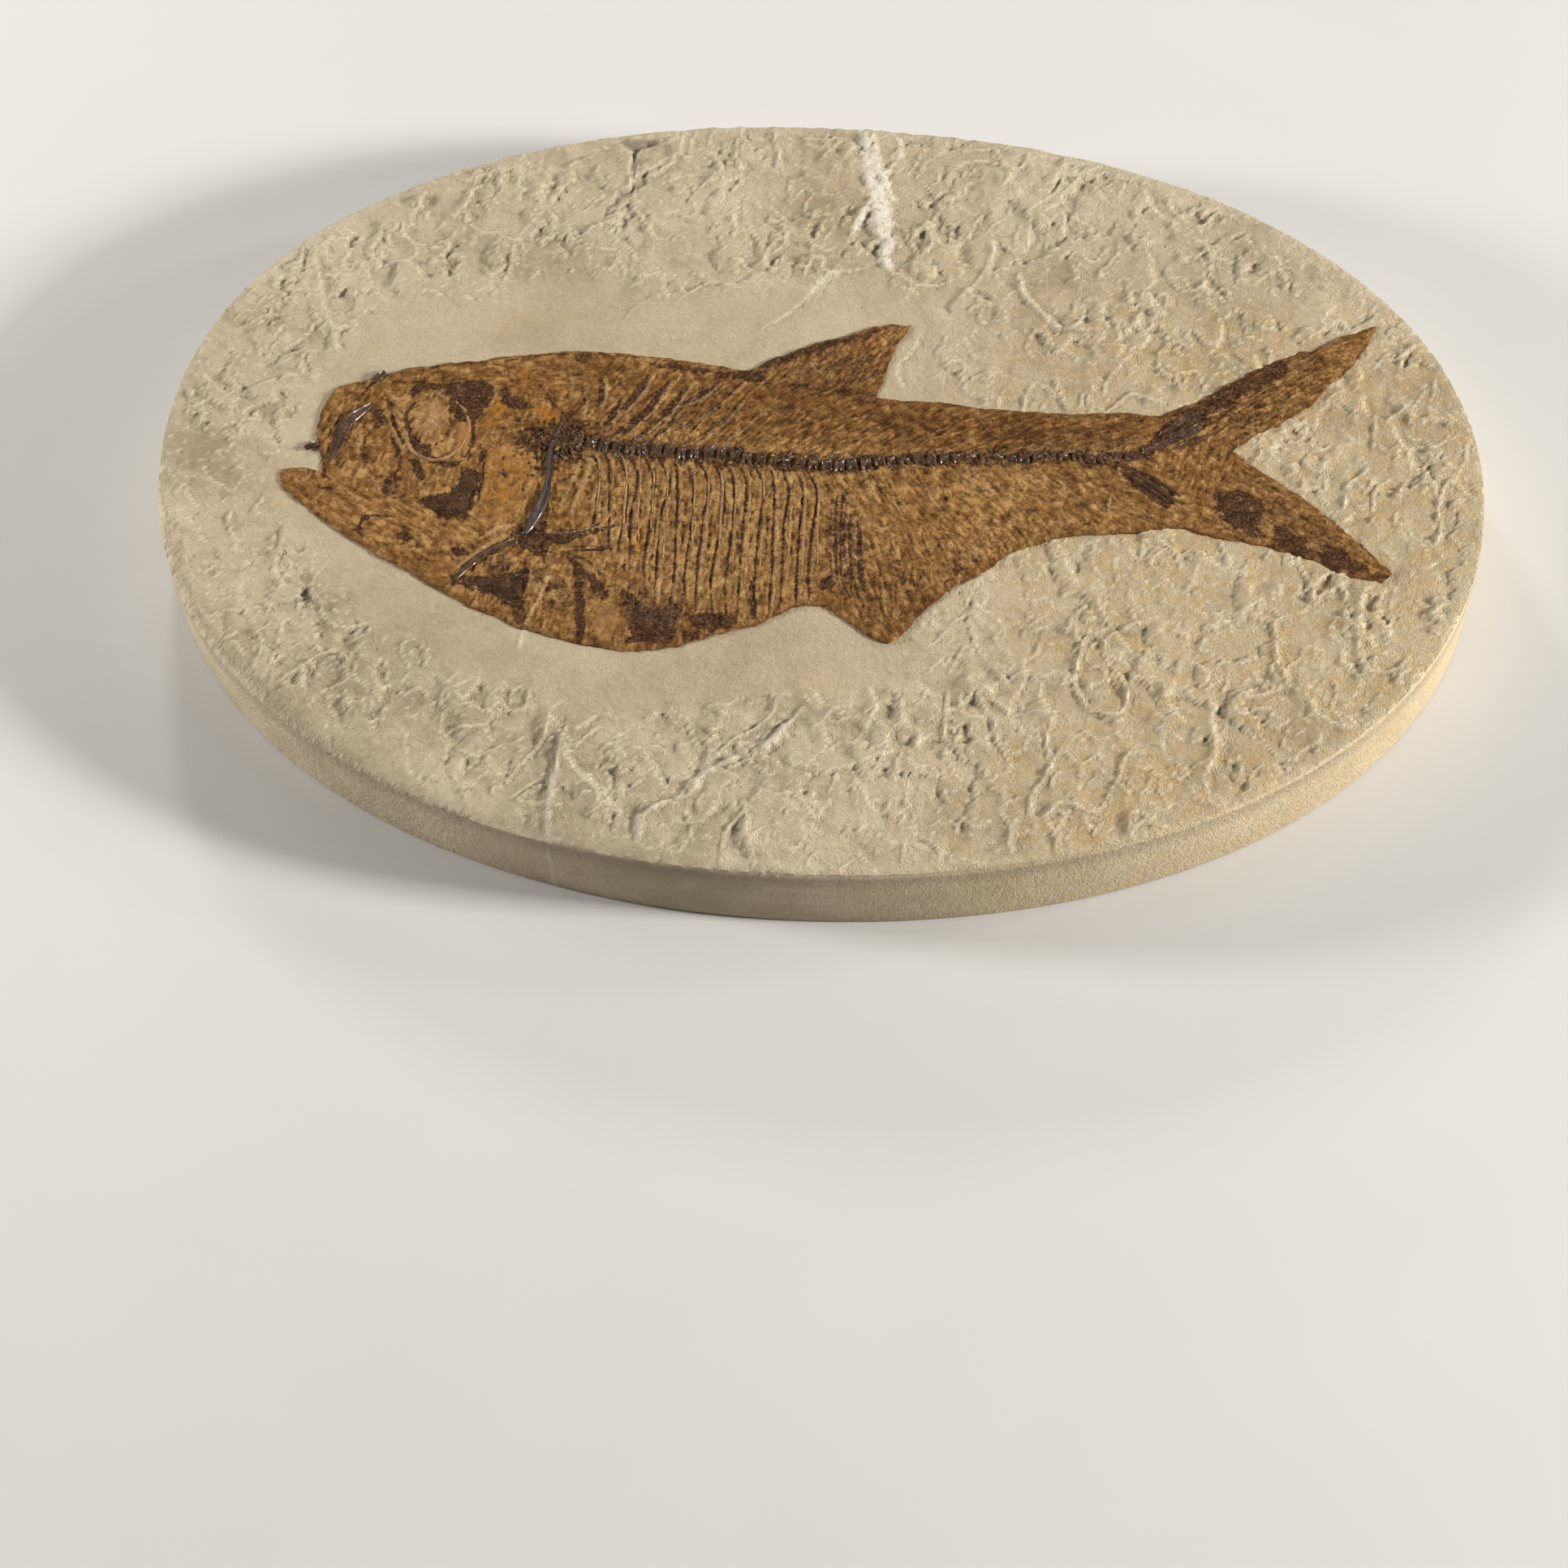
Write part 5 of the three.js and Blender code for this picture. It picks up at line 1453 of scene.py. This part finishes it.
# small bones: the node each stands for, its slot, how high its back stands, and its rods
smallBones = {
    "tail_rod_low": ("lower_tail_bone", "dark_bone", 23.7,
                     [(77.6, 7.6, 0.4), (82, 4.6, 0.6), (86, 1.4, 0.7), (88.6, -0.9, 0.5)],
                     [(76, 7.4, 0.3), (80.4, 4, 0.55), (84.6, 0.6, 0.65), (87, -1.4, 0.4)],
                     [(79, 8.6, 0.3), (83.4, 5.8, 0.5), (87.4, 2.8, 0.6), (90, 0.6, 0.35)]),
    "shoulder_arch": ("shoulder_bone", "dark_bone", 24.4,
                      [(-66.2, 15, 0.4), (-66.8, 10, 0.8), (-68.0, 4, 0.9), (-67.6, -3, 0.85),
                       (-67.5, -9, 1.25), (-68.5, -15, 1.7), (-70, -20.5, 1.4), (-71.4, -24, 0.6)]),
    "throat_arch": ("throat_bone", "dark_bone", 23.9,
                    [(-72.8, -25.8, 1.2), (-77, -28.6, 1.1), (-81, -31.8, 0.9), (-84, -35.4, 0.9),
                     (-86.8, -40, 0.5)]),
    "jaw_blade": ("upper_jaw", "dark_bone", 24.1,
                  [(-115, 16.2, 0.7), (-117.6, 13.2, 1.4), (-120.6, 9.5, 2.0), (-121.8, 4, 1.8),
                   (-122.2, -0.5, 1.2), (-123.4, -4.6, 0.4)]),
    "crest_nub": ("crest_knob", "dark_bone", 23.8,
                  [(-116, 23.2, 0.8), (-114.5, 25.6, 1.3), (-113.3, 27.4, 0.6)]),
    "front_tooth": ("jaw_tooth", "dark_bone", 23.6, [(-130, 0, 0.7), (-128.4, 1.3, 1.1), (-126.6, 2.4, 0.7)]),
    "fin_ray_long": ("pectoral_ray_1", "dark_bone", 23.7,
                     [(-66, -23.8, 0.9), (-60, -22.7, 0.65), (-53, -20.5, 0.5), (-47, -18.8, 0.3)]),
    "fin_ray_short": ("pectoral_ray_2", "dark_bone", 23.6,
                      [(-58, -28.1, 0.35), (-53.5, -27.5, 0.45), (-48.8, -27, 0.3)]),
}


def makeSmallBones(dark, glossy):
    for name, (node, slot, top, *rods) in smallBones.items():
        made = [pullBone(name, onSlab(rows), top, seat=bones["seat"], sides=12, step=0.9) for rows in rods]
        piece = joinAll(made, name)
        finishBone(piece, 0.09, 0.9)
        settle(piece, glossy if node == "shoulder_bone" else dark, slot, node)


# thin plates: the node each stands for, its slot, its top, how much it crowns, and its outline
plates = {
    "cheek_plate": ("cheek_bone", "dark_bone", 23.35, 0.35,
                    [(-98.6, -13.2), (-94, -11.5), (-90.6, -8.4), (-89, -4), (-86.6, -3.4), (-85.6, -8),
                     (-85.4, -14), (-86.2, -17.8), (-91, -20), (-95.2, -18), (-98.6, -15)]),
    "breast_panel": ("breast_plate", "dark_bone", 23.3, 0.3,
                     [(-83.2, -38.6), (-79, -38.6), (-74, -37.6), (-70.4, -34.2), (-68.6, -34),
                      (-68.8, -39), (-69, -44), (-73, -45.2), (-78, -43.4), (-81.8, -41.2)]),
    "gill_panel": ("gill_cover", "fish_skin", 23.45, 0.5,
                   [(-84, 2.4), (-79, 4), (-74, 2), (-71.4, -2), (-70.2, -8), (-71.4, -13.6), (-74, -18.8),
                    (-79, -18.4), (-83, -17.4), (-83.6, -10), (-84.6, -3)]),
}


def makePlates(dark, skinFinish):
    rand = random.Random(bones["plateSeed"])
    for name, (node, slot, top, crown, rows) in plates.items():
        outline = curveThrough(onSlab([*rows, rows[0]]), 0.6)[:-1]
        piece = cutSheet(name, outline, bones["plateSpacing"])
        points = groundPoints(piece)
        face = Surface(points - fishPlace, skinLayers, 0.9)
        face.layers["fibre"] = 0.5 + 0.3 * noiseField(face.x, face.y, 1.0, 8.1, 2.5)
        face.layers["deep"] += 0.5
        for size, seed in ((2.4, 9.1), (1.1, 1.7)):
            face.layers["lift"] += 0.2 * noiseField(face.x, face.y, size, seed)
        if name == "gill_panel":
            face.layers["orange"] += 0.45 + 0.3 * noiseField(face.x, face.y, 5, 3.9)
            face.layers["tan"] += 0.3
            for index in range(22):
                turn = math.radians(-132 + index * 4.4 + rand.uniform(-1, 1))
                reach = rand.uniform(10, 19)
                start = (-77 + 3.5 * math.cos(turn), 3 + 3.5 * math.sin(turn))
                end = (-77 + reach * math.cos(turn), 3 + reach * 1.15 * math.sin(turn))
                face.line([start, ((start[0] + end[0]) / 2, (start[1] + end[1]) / 2), end], 0.22, soft=0.25,
                          ragged=0.25, ink=rand.uniform(0.2, 0.6), lift=-0.1)
            face.line([(-79.6, 3), (-79.4, -2), (-78.2, -7)], 0.3, soft=0.3, ragged=0.3, ink=0.8, lift=-0.12)
        rim = edgeDistance(points, outline)
        inner = smoothStep(0, 1.2, rim)
        seat = bones["plateSeat"]
        setHeights(piece, seat + (top - seat + face.layers["lift"]) * inner + crown * smoothStep(0, 6, rim))
        face.store(piece.data)
        dropSides(piece, [(bones["plateFoot"], 1, 1)])
        smoothFaces(piece, 70)
        settle(piece, skinFinish if slot == "fish_skin" else dark, slot, node)


def makeEyeRing(material):
    low, high = boxOf("eye_ring")
    middle, half = (low + high) / 2, (high - low) / 2
    seat = bones["seat"] * mm
    deselectAll()
    bpy.ops.mesh.primitive_torus_add(major_segments=72, minor_segments=12,
                                     major_radius=half[1] * mm, minor_radius=bones["ringRadius"] * mm,
                                     location=(middle[0] * mm, middle[1] * mm, seat))
    ring = bpy.context.object
    ring.name = ring.data.name = "eye_socket_ring"
    ring.scale = ((half[0] - 0.9) / half[1], (half[1] - 0.9) / half[1], 0.95)
    bpy.ops.object.transform_apply(location=True, rotation=False, scale=True)
    # worn thin towards the front
    places = read(ring.data.vertices, "co", 3)
    turn = np.arctan2(places[:, 1] - middle[1] * mm, places[:, 0] - middle[0] * mm)
    keep = 0.55 + 0.45 * np.cos(turn + 0.9)
    places[:, 2] = seat + (places[:, 2] - seat) * keep
    ring.data.vertices.foreach_set("co", places.ravel())
    finishBone(ring, 0.32, 1.8, 1)
    settle(ring, material, "pale_bone", "eye_ring")


def makeRods(material):
    rand = random.Random(bones["rodSeed"])
    rods = []
    for index in range(film["ribs"]):
        x = -58.5 + film["ribGap"] * index
        top = backboneHeight(x) - 1.6
        foot = float(np.interp(index, [0, 3, 8, 12, 17], [-14, -26, -36, -34, -26])) + rand.uniform(-4, 4)
        rows = [(x + 0.2, top), (x + 1.7, top - 2.6), (x + 3.0, top - 8), (x + 3.7, -16),
                (x + 4.3, (foot - 16) / 2), (x + 4.9, foot)]
        if index < 2:
            rows = rows[:4]
        wide = rand.uniform(0.22, 0.34)
        rod = []
        for at, (a, b) in enumerate(rows):
            level = bones["rodLevel"] + 0.12 * math.sin(2.1 * at + index)
            taper = 0.5 if at in (0, len(rows) - 1) else 1
            rod.append((a + fishPlace[0] + 0.65, b + fishPlace[1], level, wide * taper))
        rods.append(rod)
    piece = threadRods("rib_rods", rods)
    finishBone(piece, 0.05, 0.8, 0)
    settle(piece, material, "pale_bone")


def boneMaterial(name, low, high, gloss, coat, level=0.2):
    material, wire = startMaterial(name)
    place = stretched(wire)
    cloudy = grain(wire, place, 2.2, 0.65, 4, 0.4)
    speck = grain(wire, place, 0.5, 0.6, 3)
    colour = over((cloudy * 0.6 + speck * 0.4).between(0.34, 0.68), low, high)
    colour = over(speck.between(0.62, 0.75) * 0.4, colour, (0.36, 0.24, 0.14))
    return finishMaterial(wire, material, colour, gloss + cloudy * 0.2, speck * 0.6 + cloudy * 0.4, 0.25,
                          coat=coat, coatRough=0.12, level=level)


skinFinish = skinMaterial()
plateBone = boneMaterial("dull plate bone", (0.014, 0.007, 0.004), (0.110, 0.052, 0.024), 0.6, 0.03, 0.06)
darkBone = boneMaterial("dark glossy bone", (0.014, 0.008, 0.005), (0.130, 0.062, 0.026), 0.32, 0.45, 0.1)
glossyBone = boneMaterial("glossy black bone", (0.010, 0.006, 0.004), (0.055, 0.030, 0.018), 0.3, 1.0, 0.4)
paleBone = boneMaterial("worn orange bone", (0.20, 0.10, 0.045), (0.40, 0.225, 0.10), 0.42, 0.15)
ribBone = boneMaterial("brown rib bone", (0.150, 0.074, 0.030), (0.46, 0.285, 0.125), 0.34, 0.3)
settle(makeFilm(), skinFinish, "fish_skin", "fish_film")
settle(makeBackbone(), darkBone, "dark_bone", "backbone")
makeSmallBones(darkBone, glossyBone)
makePlates(plateBone, skinFinish)
makeEyeRing(paleBone)
makeRods(ribBone)
print("bones made")


# floor and light

# each light: place in metres, width, power and tint
studio = {
    "right light": ((1.78, -0.20, 0.60), 0.26, 68, (1, 0.97, 0.92)),
    "left light": ((-1.10, -0.05, 0.34), 0.16, 13, (1, 0.97, 0.93)),
    "back light": ((-0.35, 1.05, 0.42), 0.14, 6, (1, 0.98, 0.95)),
    "glint light": ((1.70, 0.52, 0.62), 0.12, 5, (1, 0.98, 0.95)),
     # shows in the right side of the glossy bones
    "top light": ((0.1, 0.5, 1.3), 0.8, 2, (1, 1, 1)),
}
lightAim = (0, 0, 0.02)
skyTint = (1.0, 0.96, 0.90, 1)
skyStrength = 0.08


def paleFloor():
    deselectAll()
    bpy.ops.mesh.primitive_grid_add(x_subdivisions=4, y_subdivisions=4, size=6, location=(0, 0, -0.0002))
    floor = bpy.context.object
    floor.name = "floor"
    bpy.ops.object.transform_apply(location=True)
    material, wire = startMaterial("pale floor")
    tone = grain(wire, stretched(wire), 60, 0.5, 2)
    colour = over(tone, (0.60, 0.595, 0.58), (0.63, 0.625, 0.61))
    finishMaterial(wire, material, colour, 0.9, tone, 0.02, level=0.2)
    floor.data.materials.append(material)


def softLight(name, place, size, power, tint):
    data = bpy.data.lights.new(name, "AREA")
    data.shape = "RECTANGLE"
    data.size = data.size_y = size
    data.energy = power
    data.color = tint
    light = bpy.data.objects.new(name, data)
    light.location = place
    light.rotation_euler = (Vector(lightAim) - Vector(place)).to_track_quat("-Z", "Y").to_euler()
    bpy.context.collection.objects.link(light)


paleFloor()
for name, settings in studio.items():
    softLight(name, *settings)
sky = bpy.data.worlds.new("soft sky")
sky.use_nodes = True
sky.node_tree.nodes["Background"].inputs["Color"].default_value = skyTint
sky.node_tree.nodes["Background"].inputs["Strength"].default_value = skyStrength
bpy.context.scene.world = sky
bpy.context.scene.view_settings.view_transform = "Standard"
print("floor and lights set")
